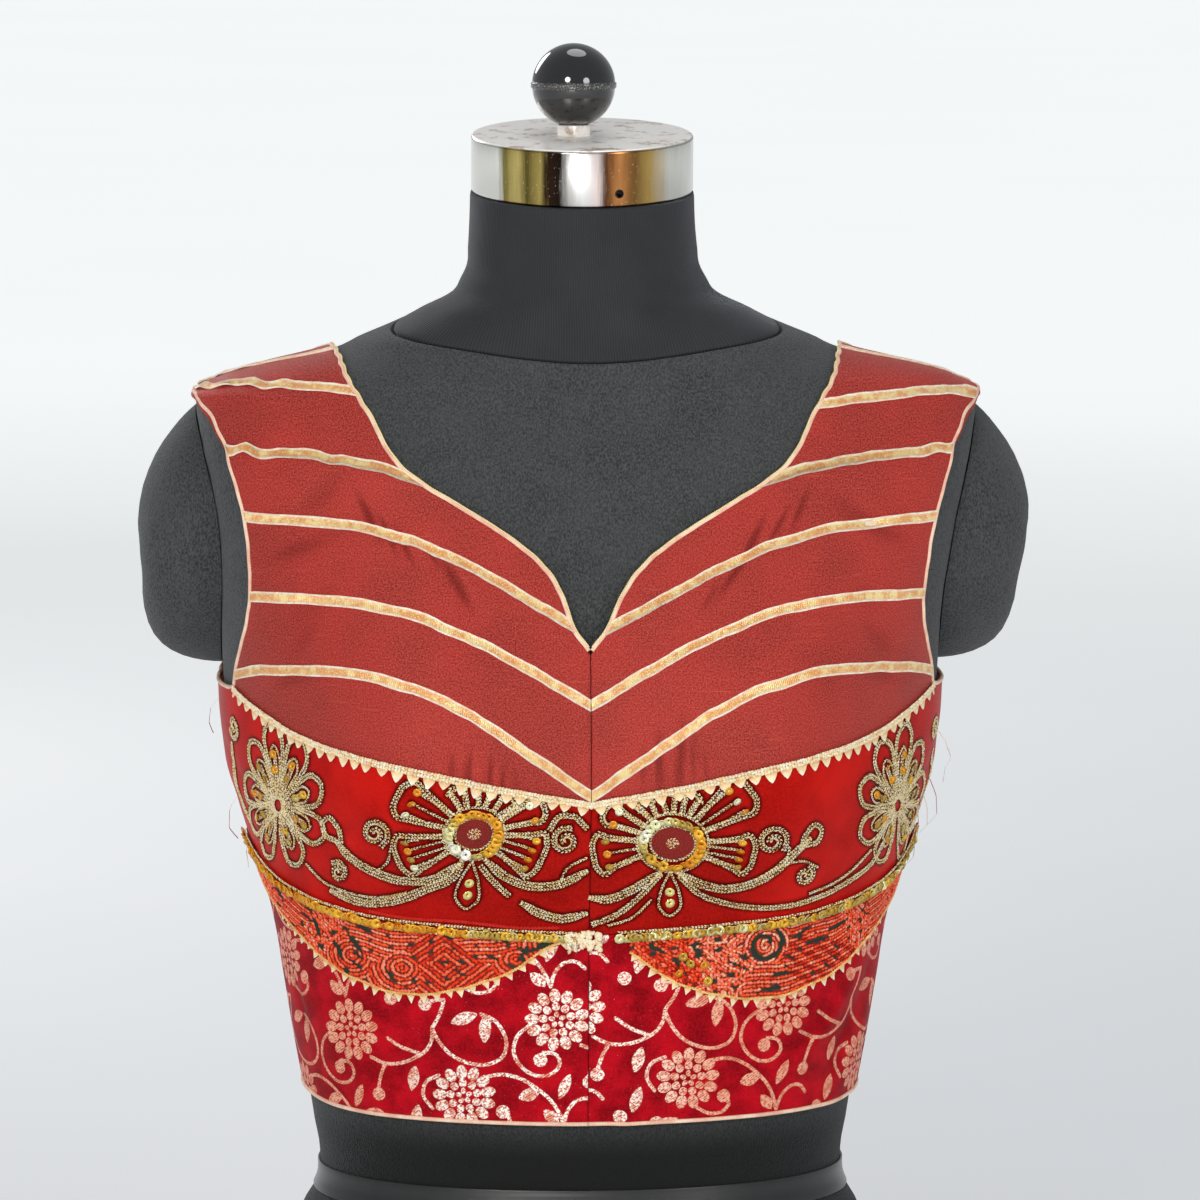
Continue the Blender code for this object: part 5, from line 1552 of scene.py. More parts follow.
def band_drawing(side_name):
    """Every cord of one side, and the ends of the rays, where sequins go."""
    centre, disc, bead_ring = FLOWERS[side_name]
    lines = [(ring(centre, *bead_ring), 1, True), (ring(centre, disc[0] + 0.3, disc[1] + 0.3), 1, True),
             (ring(centre, 2.4, 2.2, 12), 1, True), (ring(centre, 1.2, 1.1, 8), 1, True)]
    ends = []
    for petal in PETALS[side_name]:
        outline, tips = box_petal(centre, *petal)
        lines += outline
        ends += tips if petal[2] > SEQUIN_REACH else []
    lines += teardrop(*TEARDROPS[side_name])
    lines += [(points, rows, False) for points, rows in STEMS[side_name]]
    lines += [(spiral(*scroll), 2, False) for scroll in SCROLLS[side_name]]
    fan_centre, size, leans = FANS[side_name]
    lines += fan(fan_centre, size, leans) + [(ring(fan_centre, 4.5, 4.5, 12), 2, True)]
    return lines, ends


drawings, ray_ends = {}, {}
for side_name, _ in SIDES:
    drawings[side_name], ray_ends[side_name] = band_drawing(side_name)
    embroidery = cords("band_cords_" + side_name, drawings[side_name], ZARI)
print(counted(embroidery))

# %% Band
# The satin is painted almost black along each cord, a painted shadow of the cords, so the band is built
# after the drawing.
BAND_STEP = 1.2
CORD_SHADOW_TO, CLEAR_FROM = 1.0, 2.3


def near_lines(lines):
    """A field that is 1 next to the drawn lines and 0 away from them."""
    points = np.vstack(lines)
    tree = kdtree.KDTree(len(points))
    for number, point in enumerate(points):
        tree.insert((*point, 0.0), number)
    tree.balance()

    def field(arcs, heights):
        off = np.array([tree.find((arc, height, 0.0))[2] for arc, height in zip(arcs, heights)])
        return np.clip((CLEAR_FROM - off) / (CLEAR_FROM - CORD_SHADOW_TO), 0, 1)
    return field


band_angles, band_heights = front_grid(band_top, lambda a: height_at(BAND_HEM, a) + SEAM_HALF,
                                       235.0, 80.0, BAND_STEP)
bands = [shell("band_cloth_" + side_name, [(side * band_angles, band_heights)], SATIN,
               fields={"stitched": near_lines(chain_lines(drawings[side_name]))})
         for side_name, side in SIDES]
print(counted(bands[0]))

# %% Sequins
spangle = Finish("sequins", roughness=0.22, metallic=0.35)
SPANGLE = spangle.set(Base_Color=spangle.ramp(
    spangle.field("tone"), (0.0, (224, 140, 16)), (0.3, (246, 190, 52)), (0.5, (190, 150, 50)),
    (0.7, (222, 208, 122)), (0.86, (238, 238, 190)), (1.0, (255, 255, 246))))
SEQUIN = sequin_shape(8)
SEQUIN_LIFT, SEQUIN_TILT = 0.75, 0.28


def sequins(name, places, sizes, tones, lift=SEQUIN_LIFT, seed=5):
    """Sequins on the cloth, each tilted a little its own way."""
    rng = np.random.default_rng(seed)
    places, tones = np.array(places, float), np.array(tones, float)
    centres = drawn(*places.T, lift)
    tilt = rng.normal(0, SEQUIN_TILT, centres.shape)
    normals = unit(body_normal(angle_of(*places.T), places[:, 1]) + tilt)
    forward = rng.normal(0, 1, centres.shape)
    return copies(name, SEQUIN, centres, forward, normals, stacked(sizes, sizes, sizes), SPANGLE,
                  {"tone": tones})


SHINE_FROM = {"r": 215.0, "l": 135.0}


def flower_sequins(side_name):
    """The sequin ring, amber over the outer half, pale and white elsewhere, and the rays' ends."""
    centre, disc, bead_ring = FLOWERS[side_name]
    rng = np.random.default_rng(11)
    rows = []
    for turn in np.radians(np.arange(0.0, 360.0, 14.0)):
        reach = 0.5 * (np.array(disc) + bead_ring) + rng.normal(0, 0.3, 2)
        place = centre + reach * (math.cos(turn), math.sin(turn))
        size = rng.uniform(4.6, 5.6)
        pale = 0.5 + 0.5 * math.cos(turn - math.radians(SHINE_FROM[side_name]))
        rows.append((place, size, np.clip(0.15 + 0.8 * pale ** 1.6 + rng.normal(0, 0.1), 0, 1)))
    rows += [(place, 4.0, rng.choice([0.02, 0.1, 0.3, 0.5, 0.6, 0.9])) for place in ray_ends[side_name]]
    foot, lean, length, _ = TEARDROPS[side_name]
    rows += [(turned_to([(length * reach, 0.0)], foot, lean)[0], 4.6, 0.72) for reach in (0.42, 0.68)]
    fan_centre, size, leans = FANS[side_name]
    rows += [(turned_to([(size * share * reach, 0.0)], fan_centre, lean)[0], 4.2,
              rng.choice([0.1, 0.35, 0.5, 0.6])) for lean, share in leans for reach in (0.5, 0.72)]
    return sequins("band_sequins_" + side_name, *zip(*rows))


spangles = [flower_sequins(side_name) for side_name, _ in SIDES]

# %% Flower middles
# The middle of each flower is a small patch of the yoke's silk, held down by the rings.
DISC_SHADE, DISC_SIDES = 0.6, 40
DISC_LEVELS = ((1.0, -0.2), (0.99, 0.2), (0.94, 0.32), (0.6, 0.4), (0.2, 0.42))


def silk_disc(side_name):
    centre, disc, _ = FLOWERS[side_name]
    rings = [ring((0.0, 0.0), disc[0] * share, disc[1] * share, DISC_SIDES) for share, _ in DISC_LEVELS]
    points = np.vstack([drawn(*(flat + centre).T, lift) for flat, (_, lift) in zip(rings, DISC_LEVELS)])
    last = len(points) - DISC_SIDES
    faces = grid_faces(len(DISC_LEVELS), DISC_SIDES, closed=True)
    faces += [list(range(last, len(points))), list(range(DISC_SIDES))]
    return closed_up(as_object("flower_disc_" + side_name, points, faces, SILK, np.vstack(rings),
                               {"sunk": np.full(len(points), DISC_SHADE)}))


discs = [silk_disc(side_name) for side_name, _ in SIDES]
print(counted(spangles[0]), "and", counted(discs[0]))
# %% [markdown]
# ## The brocade waist
# The waist is crimson brocade, woven with rosettes on looping vines. The weave repeats, so
# one repeat is charted here, 100 mm wide and 66 mm tall, with a high and a low rosette, and
# every panel lays it at its own slant. Vines, leaves and buds are measured as distances on
# the cloth, and the petals of the rosettes are worked out in the finish.

# %% One repeat of the weave
REPEAT = np.array((100.0, 66.0))
LOW_ROSETTE, HIGH_ROSETTE = (0.0, 0.0), (46.0, 33.0)
VINE_HALF, BUD_RADIUS, NEAR = 0.85, 3.2, 6.0
VINES = (
    ((-12, 33), (-10, 28), (-3.5, 19.5), (5, 15.2), (13, 14.5), (20, 18), (22, 24.5),
     (20.5, 30.5), (16.5, 36), (11.5, 38.5)),
    ((-12, 33), (-7.5, 40), (-5, 46.5)),
    ((-12, 33), (-12.5, 28), (-16, 22.5), (-22, 19), (-29, 16.8), (-37, 16.8), (-44.5, 20)),
    ((-34.5, 29), (-28, 24.5), (-19, 21)),
    ((-37, 16.8), (-39.8, 11.5), (-41.8, 5)),
    ((-11, 10.5), (-17.5, 7.5), (-19.5, 1.5), (-15.5, -5.5)),
    ((10, 8.5), (18.5, 9.2), (26, 6.8), (33.5, 1.5), (39.5, -5), (43, -12), (44.5, -17)),
    ((44.5, -17), (47, -10.5), (51.5, -6.2), (57, -6), (61, -10)),
    ((4.5, -14), (11, -17.2), (17.5, -16.2), (20.2, -12.5), (18.5, -9.5)),
    ((34, 32), (27, 26.5), (24.8, 19), (28.5, 11), (35.5, 7), (42, 8), (45.5, 12.5),
     (43.5, 17), (38, 18)),
    ((-5, 46.5), (-9.5, 46.5), (-13.5, 45)),
)
LEAVES = (
    # middle across, middle up, lean, half length, half width
    (3.5, 37, 196, 6.8, 2.9),
    (12.8, 31.5, 262, 7.2, 2.8),
    (-23.5, 9.5, 256, 6.4, 2.9),
    (30, -1.5, 196, 5.4, 3),
    (46.5, 1, 62, 6.8, 2.4),
    (39, -13, 130, 5, 2.6),
    (-24, -9.5, 74, 6.8, 2.8),
)
BUDS = ((-42, 2), (17.3, -8.8), (36.6, 14.6), (-14.2, 44.8), (-31, -18))


def to_segment(points, start, end):
    run = end - start
    share = np.clip(((points - start) @ run) / (run @ run), 0, 1)
    return size_of(points - start - share[:, None] * run)


def leaf_distance(points, row):
    across, up, lean, half_length, half_width = row
    run, off = leaning(points[:, 0] - across, points[:, 1] - up, lean)
    run, off = run / half_length, off / half_width
    return (np.abs(off) - np.clip(1 - run * run, 0, 1) + 2.0 * np.clip(np.abs(run) - 1, 0, 9)) * half_width


def weave_distance(arcs, heights, origin, slant):
    """How far each point of the cloth is from the nearest vine, leaf or bud. It is below 0 on one."""
    flat = stacked(*leaning(arcs - origin[0], heights - origin[1], slant))
    flat = (flat + 0.5 * REPEAT) % REPEAT - 0.5 * REPEAT
    best = np.full(len(flat), NEAR)
    vines = [flat_line(vine, 2.2) for vine in VINES]
    for shift in (np.array((x, y)) * REPEAT for x in (-1, 0, 1) for y in (-1, 0, 1)):
        for line in (vine + shift for vine in vines):
            near = np.flatnonzero(((flat > line.min(0) - NEAR) & (flat < line.max(0) + NEAR)).all(-1))
            for start, end in zip(line[:-1], line[1:]):
                best[near] = np.minimum(best[near], to_segment(flat[near], start, end) - VINE_HALF)
        for row in LEAVES:
            best = np.minimum(best, leaf_distance(flat - shift, row))
        for bud in BUDS:
            best = np.minimum(best, size_of(flat - shift - bud) - BUD_RADIUS)
    return best


print("brocade repeat:", len(VINES), "vines,", len(LEAVES), "leaves,", len(BUDS), "buds")

# %% Brocade finish
ROSETTE_RINGS = (
    # petals, radius of their middles, half length, half width
    (13, 11.6, 3.3, 2.55),
    (9, 6.5, 2.1, 1.9),
    (5, 2.6, 1.5, 1.2),
)


def rosette(finish, local):
    """A mask of the petals of one rosette round the origin of a flat place."""
    reach = finish.reach(local)
    turn = finish.axis(local).shaped("ARCTAN2", finish.axis(local, 1))
    mask = 0.0
    for petals, middle, half_length, half_width in ROSETTE_RINGS:
        half_pitch = math.pi / petals
        part = finish.node("ShaderNodeMath", {"operation": "WRAP"}, {0: turn, 1: half_pitch, 2: -half_pitch})
        off = part * reach * (1 / half_width)
        run = (reach - middle) * (1 / half_length)
        mask = (1 - (off * off + run * run).stepped(0.86, 1.08)).shaped("MAXIMUM", mask)
    return mask


def brocade(name, origin, slant):
    """The brocade, with its repeat laid from an origin on the flat map and slanted."""
    made = Finish(name, roughness=0.5, specular_ior_level=0.1, specular_tint=(1.0, 0.3, 0.3, 1.0))
    laid_at = np.array(leaning(*origin, slant))
    petals = 0.0
    for centre in (LOW_ROSETTE, HIGH_ROSETTE):
        placed = made.node("ShaderNodeMapping", {}, {
            "Vector": made.node("ShaderNodeTexCoord", output="UV"), "Scale": (1000.0, 1000.0, 1000.0),
            "Location": (*(-laid_at - centre), 0.0), "Rotation": (0.0, 0.0, -math.radians(slant))})
        local = made.node("ShaderNodeVectorMath", {"operation": "WRAP"}, {
            0: placed, 1: (*(0.5 * REPEAT), 1.0), 2: (*(-0.5 * REPEAT), -1.0)})
        petals = rosette(made, local).shaped("MAXIMUM", petals)
    fuzz = made.noise(made.flat((1.0, 0.6, 1.0)), 0.7, 2.0)
    woven = 1 - (made.field("weave") + (fuzz - 0.5) * 0.5).stepped(-0.1, 0.15)
    mask = woven.shaped("MAXIMUM", petals)
    twill = made.waves(made.flat(turn=56.0), 1.05, bend=0.6)
    near_front = 1 - (made.axis(made.flat()) + 24.0).shaped("ABSOLUTE").stepped(30.0, 90.0)
    sparkle = made.noise(made.flat(), 1.3, 2.0, 0.7).stepped(0.45, 0.51)
    sparkle = sparkle * made.noise(made.flat(), 5.0, 3.0, 0.6).stepped(0.32, 0.52)
    lit = made.mixed(near_front, (255, 196, 168), (255, 252, 242))
    loose = made.noise(made.flat(), 1.0, 2.0, 0.8).stepped(0.71, 0.75) * near_front * 0.7
    pile = made.noise(made.flat(), 15.0, 4.0, 0.6).stepped(0.32, 0.68)
    fine = made.noise(made.flat(), 1.1, 3.0, 0.8).stepped(0.35, 0.65)
    ground = made.mixed(fine * 0.28, made.mixed(pile, (118, 0, 6), (184, 7, 24)), (206, 34, 52))
    thread = made.mixed(twill * 0.8, (244, 144, 112), (142, 54, 38))
    thread = made.mixed(sparkle * (0.7 + near_front * 0.3), thread, lit)
    woven_colour = made.mixed(loose, made.mixed(mask, ground, thread), (250, 225, 215))
    # In creases the brocade is painted darker: painted shade.
    return made.set(Base_Color=made.mixed(made.field("sunk") * 0.8, woven_colour, (70, 1, 5)),
                    Metallic=mask * 0.2, Roughness=0.55 - mask * 0.2,
                    Normal=made.relief(mask * (0.6 + twill * 0.5) + fine * 0.15, 0.22))


LAID = {
    # side: where a low rosette lies on the panel, and the slant of the weave there
    "r": ((-57, 191.5), 5.5),
    "l": ((46, 199.5), -1.5),
    "back": ((12, 196), 1),
}


def brocade_on(side_name):
    """The brocade of one panel, and the field that it reads."""
    origin, slant = LAID[side_name]
    return (brocade("crimson_brocade_" + side_name, origin, slant),
            {"weave": lambda arcs, levels: weave_distance(arcs, levels, origin, slant)})


print("rosettes of", [petals for petals, *_ in ROSETTE_RINGS], "petals")

# %% Front waist
LOWER_STEP = 1.1
for side_name, side in SIDES:
    angles, heights = front_grid(lambda a: height_at(BAND_HEM, a) - SEAM_HALF,
                                 lambda a: hem_at(side * a) + SETBACK, 205.0, 100.0, LOWER_STEP)
    cloth_finish, fields = brocade_on(side_name)
    waist = shell("waist_cloth_" + side_name, [(side * angles, heights)], cloth_finish, fields=fields)
print(counted(waist))
# %% [markdown]
# ## The crescents
# Under each cup hangs a crescent cut from an older embroidery: coral thread worked solid on
# a dark green ground. The stitches lie in rows, and the rows run round small shapes, so each
# patch of the crescent has a middle and a way of turning. Where stitches have worn off, or
# were never worked, the green shows.

# %% Green ground and coral thread
baize = Finish("green_ground", roughness=0.8)
nap = baize.noise(baize.solid(), 0.7, 2.0)
baize_green = baize.mixed(nap, (6, 20, 10), (26, 50, 30))
# Under the stitches the ground is painted dark red: painted shade of the coral thread between its rows.
# Where no stitch lies, it is green.
baize_thread_shade = baize.mixed(nap, (96, 16, 6), (150, 30, 12))
BAIZE = baize.set(Base_Color=baize.mixed(baize.field("bare"), baize_thread_shade, baize_green),
                  Normal=baize.relief(nap, 0.15))
coral = Finish("coral_thread", roughness=0.5, specular_ior_level=0.4, specular_tint=(1.0, 0.5, 0.4, 1.0))
coral_strand = coral.noise(coral.solid(), 0.5, 2.0)
coral_tones = coral.ramp(
    coral.field("tone"), (0.0, (150, 14, 6)), (0.2, (226, 42, 16)), (0.45, (255, 88, 40)),
    (0.7, (255, 128, 92)), (0.88, (255, 164, 140)), (1.0, (255, 206, 160)))
CORAL = coral.set(Base_Color=coral.mixed(coral_strand * 0.2, coral_tones, (180, 40, 20)),
                  Normal=coral.relief(coral_strand, 0.1))
print("crescent finishes:", BAIZE.name, "and", CORAL.name)

# %% Shape and stitches
CRESCENT_HEMS = {
    "l": ((2, 267), (9.7, 262), (19.7, 249.5), (27.5, 242.5), (35, 238.5), (45, 235.8),
          (56.7, 240.5), (63.7, 246.5), (69, 254.5), (78, 268.5), (84, 280), (88.5, 294)),
    "r": ((2, 268), (9.7, 264.5), (19.7, 252.5), (27.5, 246.5), (35, 242), (45, 239),
          (56.7, 243.5), (63.7, 250), (69, 258), (78, 272), (84, 283), (88.5, 295)),
}
CRESCENT_START = {"l": 11.0, "r": 2.0}
CRESCENT_LIFT, ROW_PITCH, STITCH_PITCH, STITCH_STEP = 0.75, 1.9, 1.75, 0.95
PATCHES = {
    # middle arc, middle height, kind, size, tone, share of green
    "r": ((-20, 266, "round", 14, 0.55, 0.2), (-33, 258, "round", 10, 0.5, 0.25),
          (-48, 268, "long", 16, 0.6, 0.1), (-66, 255, "diamond", 20, 0.4, 0.22),
          (-86, 252, "round", 14, 0.55, 0.1), (-98, 266, "long", 18, 0.6, 0.15),
          (-112, 256, "round", 12, 0.5, 0.3), (-128, 272, "worm", 16, 0.62, 0.3),
          (-150, 278, "long", 20, 0.55, 0.2), (-178, 292, "worm", 20, 0.5, 0.25)),
    "l": ((34, 262, "worm", 14, 0.42, 0.2), (46, 252, "worm", 12, 0.35, 0.12),
          (62, 256, "worm", 22, 0.7, 0.3), (82, 262, "swirl", 16, 0.72, 0),
          (84, 246, "long", 14, 0.6, 0.14), (104, 258, "dots", 18, 0.36, 0.2),
          (112, 272, "long", 18, 0.55, 0.08), (134, 276, "worm", 16, 0.6, 0.25),
          (152, 284, "long", 20, 0.55, 0.05), (178, 292, "worm", 20, 0.5, 0.25)),
}
GREEN_LEAVES = {
    # middle arc, middle height, lean, half length, half width
    "r": ((-22, 264.5, 24, 9, 1.3), (-30, 261, 60, 5, 1.5), (-38, 268, 110, 4.5, 1.6),
          (-44, 259, 150, 4.5, 1), (-66, 256, 0, 4, 1), (-92, 248, 130, 5, 1.3),
          (-80, 246, 120, 4, 1), (-110, 262, 130, 7, 1.6), (-119, 257, 110, 5, 1.8),
          (-104, 270, 160, 6, 1.3), (-133, 268, 120, 6, 1.5), (-146, 281, 140, 6, 1.4),
          (-164, 282, 130, 7, 1.5)),
    "l": ((30, 263, 150, 6, 1.3), (49, 262, 140, 6, 1.2), (40, 256, 120, 4, 1.2),
          (100, 267, 30, 7, 1.2), (110, 262, 8, 8, 1.3), (122, 268, 20, 8, 1.5),
          (90, 247, 6, 8, 1.2), (86, 240.5, 4, 7, 1.5),
          (138, 280, 40, 6, 1.6), (124, 284, 20, 7, 1.2), (160, 290, 40, 7, 1.4)),
}
SWIRL_MIDDLE, SWIRL_TURN, SWIRL_START = (81.5, 263.0), 6.2, 2.6


def crescent_bottom(side_name, angles):
    hem = CRESCENT_HEMS[side_name]
    line = height_at(hem, np.clip(angles, hem[0][0], hem[-1][0]))
    return np.minimum(line, height_at(BAND_HEM, angles) - 2.0)


def worm(x, y):
    """A wandering value whose level lines curl."""
    return (3.2 * np.sin(x / 2.9 + 1.7 * np.sin(y / 3.7))
            + 3.0 * np.sin(y / 2.6 + 1.9 * np.sin(x / 4.1 + 1.0)) + 1.6 * np.sin((x + y) / 3.3))


def rows_of(kind, x, y, heights_above):
    """A value in millimetres whose level lines are the rows of stitches."""
    if kind == "round":
        return np.hypot(x * 0.8, y)
    if kind == "swirl":
        return np.hypot(x, y) + ROW_PITCH * 2 * np.arctan2(y, x) / (2 * math.pi)
    if kind == "diamond":
        return 0.72 * (np.abs(x) * 0.8 + np.abs(y))
    if kind == "worm":
        return worm(x, y)
    return heights_above + (0.6 * np.sin(x / 5.0) if kind == "long" else 0.0)


def nearest_patch(side_name, arcs, levels):
    rows = PATCHES[side_name]
    return np.stack([np.hypot(arcs - row[0], 1.3 * (levels - row[1])) / row[3] for row in rows]).argmin(0)


def bare_at(side_name, arcs, levels):
    """1 where no stitches cover the green, 0 elsewhere."""
    share = np.array([row[5] for row in PATCHES[side_name]])[nearest_patch(side_name, arcs, levels)]
    patchy = np.sin(arcs / 2.3 + 2 * np.sin(levels / 3.1)) * np.sin(levels / 1.7 + arcs / 5.3)
    bare = (patchy > 1 - 1.25 * share) * 1.0
    flat = stacked(arcs, levels)
    for row in GREEN_LEAVES[side_name]:
        bare = np.maximum(bare, leaf_distance(flat, row) < 0.0)
    if side_name == "l":
        x, y = arcs - SWIRL_MIDDLE[0], levels - SWIRL_MIDDLE[1]
        turn, reach = np.arctan2(y, x), np.hypot(x, y)
        wound = (reach - SWIRL_START - SWIRL_TURN * turn / (2 * math.pi)) / SWIRL_TURN
        on_arm = np.abs(wound - np.round(wound)) < 0.23
        bare = np.maximum(bare, on_arm & (reach < 10.5) & (reach > 2.2))
    return bare


def stitched(side_name):
    """The flat places, ways and tones of all the stitches of a crescent."""
    side = 1.0 if side_name == "l" else -1.0
    rng = np.random.default_rng(3 if side_name == "l" else 4)
    arcs, levels = np.meshgrid(np.arange(2.0, 226.0, STITCH_PITCH), np.arange(232.0, 306.0, STITCH_STEP))
    arcs = (side * (arcs + rng.uniform(-0.5, 0.5, arcs.shape))).ravel()
    levels = (levels + rng.uniform(-0.3, 0.3, levels.shape)).ravel()
    angles = np.abs(angle_of(arcs, levels))
    low, high = crescent_bottom(side_name, angles), height_at(BAND_HEM, angles)
    inside = ((angles > CRESCENT_START[side_name]) & (angles < 89.2)
              & (levels < high - 0.9) & (levels > low + 0.7))
    arcs, levels, middle = arcs[inside], levels[inside], 0.5 * (low + high)[inside]
    nearest = nearest_patch(side_name, arcs, levels)
    value, run_x, run_y, tones = np.zeros((4, len(arcs)))
    near = 0.05
    for number, (arc, level, kind, _, tone, _) in enumerate(PATCHES[side_name]):
        here = nearest == number
        x, y, above = arcs[here] - arc, levels[here] - level, (levels - middle)[here]
        value[here] = rows_of(kind, x, y, above)
        run_x[here] = (rows_of(kind, x + near, y, above) - rows_of(kind, x - near, y, above)) / (2 * near)
        run_y[here] = (rows_of(kind, x, y + near, above + near)
                       - rows_of(kind, x, y - near, above - near)) / (2 * near)
        tones[here] = tone + (0.25 * np.sin(x / 1.9 + y) if kind == "dots" else 0)
    steep = np.maximum(np.hypot(run_x, run_y), 0.15)
    row_number = np.round(value / ROW_PITCH)
    off = value / ROW_PITCH - row_number
    shift = np.clip(0.8 * off * ROW_PITCH / steep, -0.6, 0.6)
    arcs, levels = arcs - shift * run_x / steep, levels - shift * run_y / steep
    kept = bare_at(side_name, arcs, levels) < 0.5
    tones = np.clip(tones + 0.16 * np.cos(row_number * math.pi) + rng.normal(0, 0.1, len(tones)), 0, 1)
    return stacked(arcs, levels)[kept], unit(stacked(-run_y, run_x))[kept], tones[kept]


def crescent_ground(side_name, side):
    columns = np.linspace(CRESCENT_START[side_name], SIDE_ANGLE, 4 * 55 + 1)
    heights = between(height_at(BAND_HEM, columns) - SEAM_HALF, crescent_bottom(side_name, columns),
                      np.linspace(0, 1, 4 * 9 + 1))
    angles = side * np.broadcast_to(columns, heights.shape)
    points = np.vstack([on_cloth(angles, heights, lift).reshape(-1, 3) for lift in (CRESCENT_LIFT, 0.08)])
    bare = np.tile(bare_at(side_name, arc_of(angles, heights).ravel(), heights.ravel()), 2)
    size = heights.size
    faces = grid_faces(*heights.shape) + grid_faces(*heights.shape, size, turned_over=True)
    numbers = np.arange(size).reshape(heights.shape)
    for rim in (numbers[0], numbers[-1], numbers[:, 0], numbers[:, -1]):
        faces += [(a, b, b + size, a + size) for a, b in zip(rim[:-1], rim[1:])]
    return closed_up(as_object("crescent_ground_" + side_name, points, faces, BAIZE, fields={"bare": bare}))


STITCH = spindle(4)
STITCH_SIZE = (2.7, 1.75, 0.75)
for side_name, side in SIDES:
    crescent_ground(side_name, side)
    flat, ways, tones = stitched(side_name)
    sizes = np.tile(STITCH_SIZE, (len(flat), 1))
    sizes[:, 0] *= np.where(np.arange(len(flat)) % 5 == 0, 1.25, 0.95)
    stitches = grains_on_cloth("crescent_stitches_" + side_name, STITCH, flat, ways, sizes,
                               CRESCENT_LIFT + 0.2, CORAL, {"tone": tones})
# A few sequins are sewn among the worn stitches of the left crescent.
CRESCENT_SEQUINS = ((42.8, 259), (52.4, 254.5), (54.4, 246.5), (40.7, 251), (46.3, 255.5))
sequins("crescent_sequins_l", CRESCENT_SEQUINS, np.full(5, 4.4), (0.5, 0.02, 0.45, 0.1, 0.5), 1.7)
print(counted(stitches))
# %% [markdown]
# ## Lace, braid and piping
# A toothed lace covers the seam under the cups, and a smaller one edges the crescents. A
# braid of sequins under a gold chain covers the band's lower seam. The neckline, armholes
# and hem are bound with a rolled piping, and a twisted gold cord follows the neckline.

# %% Cream finishes
cream = Finish("cream_lace", roughness=0.55, specular_ior_level=0.4)
cream_thread = cream.noise(cream.solid(), 0.55, 3.0, 0.7)
cream_patch = cream.noise(cream.solid(), 3.5, 3.0, 0.6).stepped(0.3, 0.72)
gold_side = cream.mixed(cream_patch, (226, 158, 76), (252, 220, 146))
LACE = cream.set(Base_Color=cream.mixed(cream.field("tip"), gold_side, (255, 250, 226)),
                 Normal=cream.relief(cream_thread, 0.35))
roll = Finish("cream_piping", roughness=0.42, specular_ior_level=0.4)
roll_thread = roll.waves(roll.flat(), 0.75)
roll_patch = roll.noise(roll.solid(), 9.0, 3.0).stepped(0.3, 0.7)
roll_colour = roll.mixed(roll_patch, (236, 184, 160), (255, 232, 206))
PIPING = roll.set(Base_Color=roll.mixed(roll_thread * 0.35, roll_colour, (206, 140, 100)),
                  Normal=roll.relief(roll_thread, 0.1))
print("cream finishes:", LACE.name, "and", PIPING.name)

# %% Cords with a round section
def frames(angles, heights, across=0.0, lift=0.0, closed=False):
    """Points on a line over the cloth, with directions across it and out of the cloth."""
    centre = moved_across(np.abs(angles), heights, across, closed)
    sign = np.where(angles < 0, -1.0, 1.0)
    points = on_cloth(sign * centre[0], centre[1], lift)
    normal = body_normal(sign * centre[0], centre[1])
    run = np.roll(points, -1, 0) - np.roll(points, 1, 0) if closed else np.gradient(points, axis=0)
    return points, unit(np.cross(run, normal)), normal


def rope(name, line_frames, radius, finish, sides, strands=1, twist=0.0, pitch=4.0, closed=False,
         fields=None):
    """One or more strands along a line, wound round each other."""
    points, side, normal = line_frames
    run = run_along(points)
    turns = round(run[-1] / pitch) / run[-1] if strands > 1 else 0.0
    pieces = []
    for number in range(strands):
        wound = 2 * math.pi * (run * turns + number / strands)
        middle = points + twist * (side * np.cos(wound)[:, None] + normal * np.sin(wound)[:, None])
        lanes = [middle + radius * (side * math.cos(turn) + normal * math.sin(turn))
                 for turn in turns_of(sides)]
        pieces.append(strip(f"{name}_{number}" if number else name, lanes, finish, closed, fields=fields))
    return joined(pieces)


def joined(pieces):
    """Several objects as one."""
    if len(pieces) > 1:
        bpy.ops.object.select_all(action="DESELECT")
        for piece in pieces:
            piece.select_set(True)
        bpy.context.view_layer.objects.active = pieces[0]
        bpy.ops.object.join()
    return pieces[0]


# %% Toothed lace
LACE_SECTION = (
    # share of the drop, how far out
    (0.0, 0.0), (0.0, 0.6), (0.25, 1.0), (0.5, 0.9), (0.8, 1.0), (1.0, 0.7), (1.0, 0.1), (0.5, 0.0),
)
LACE_STEP, LACE_THICK = 0.42, 0.55


def lace(name, side, angles, heights, pitch, base, tooth, sharp, seed, lift=0.45):
    """A strip of lace that hangs from a line, with teeth along its lower edge."""
    angles, heights, length = evenly(angles, heights, LACE_STEP)
    run = np.linspace(0, length, len(angles))
    rng = np.random.default_rng(seed)
    count = int(length / pitch) + 2
    uneven = rng.uniform(-0.14, 0.14, count) * pitch
    size = rng.uniform(0.8, 1.12, count)
    which = np.clip((run / pitch).astype(int), 0, count - 1)
    place = (run - (which + 0.5) * pitch - uneven[which]) / (0.5 * pitch)
    drop = base + tooth * size[which] * np.clip(1 - np.abs(place) ** sharp * 1.3, 0, 1) ** (1 / sharp)
    drop = drop + rng.normal(0, 0.05, len(run))
    lanes, tips = [], []
    for share, out in LACE_SECTION:
        across, level = moved_across(angles, heights, share * drop)
        lanes.append(on_cloth(side * across, level, lift + out * LACE_THICK))
        tips.append(np.clip((share * drop - base) / tooth, 0, 1))
    return strip(name, lanes, LACE, smooth_angle=60.0, fields={"tip": np.array(tips).T.ravel()})


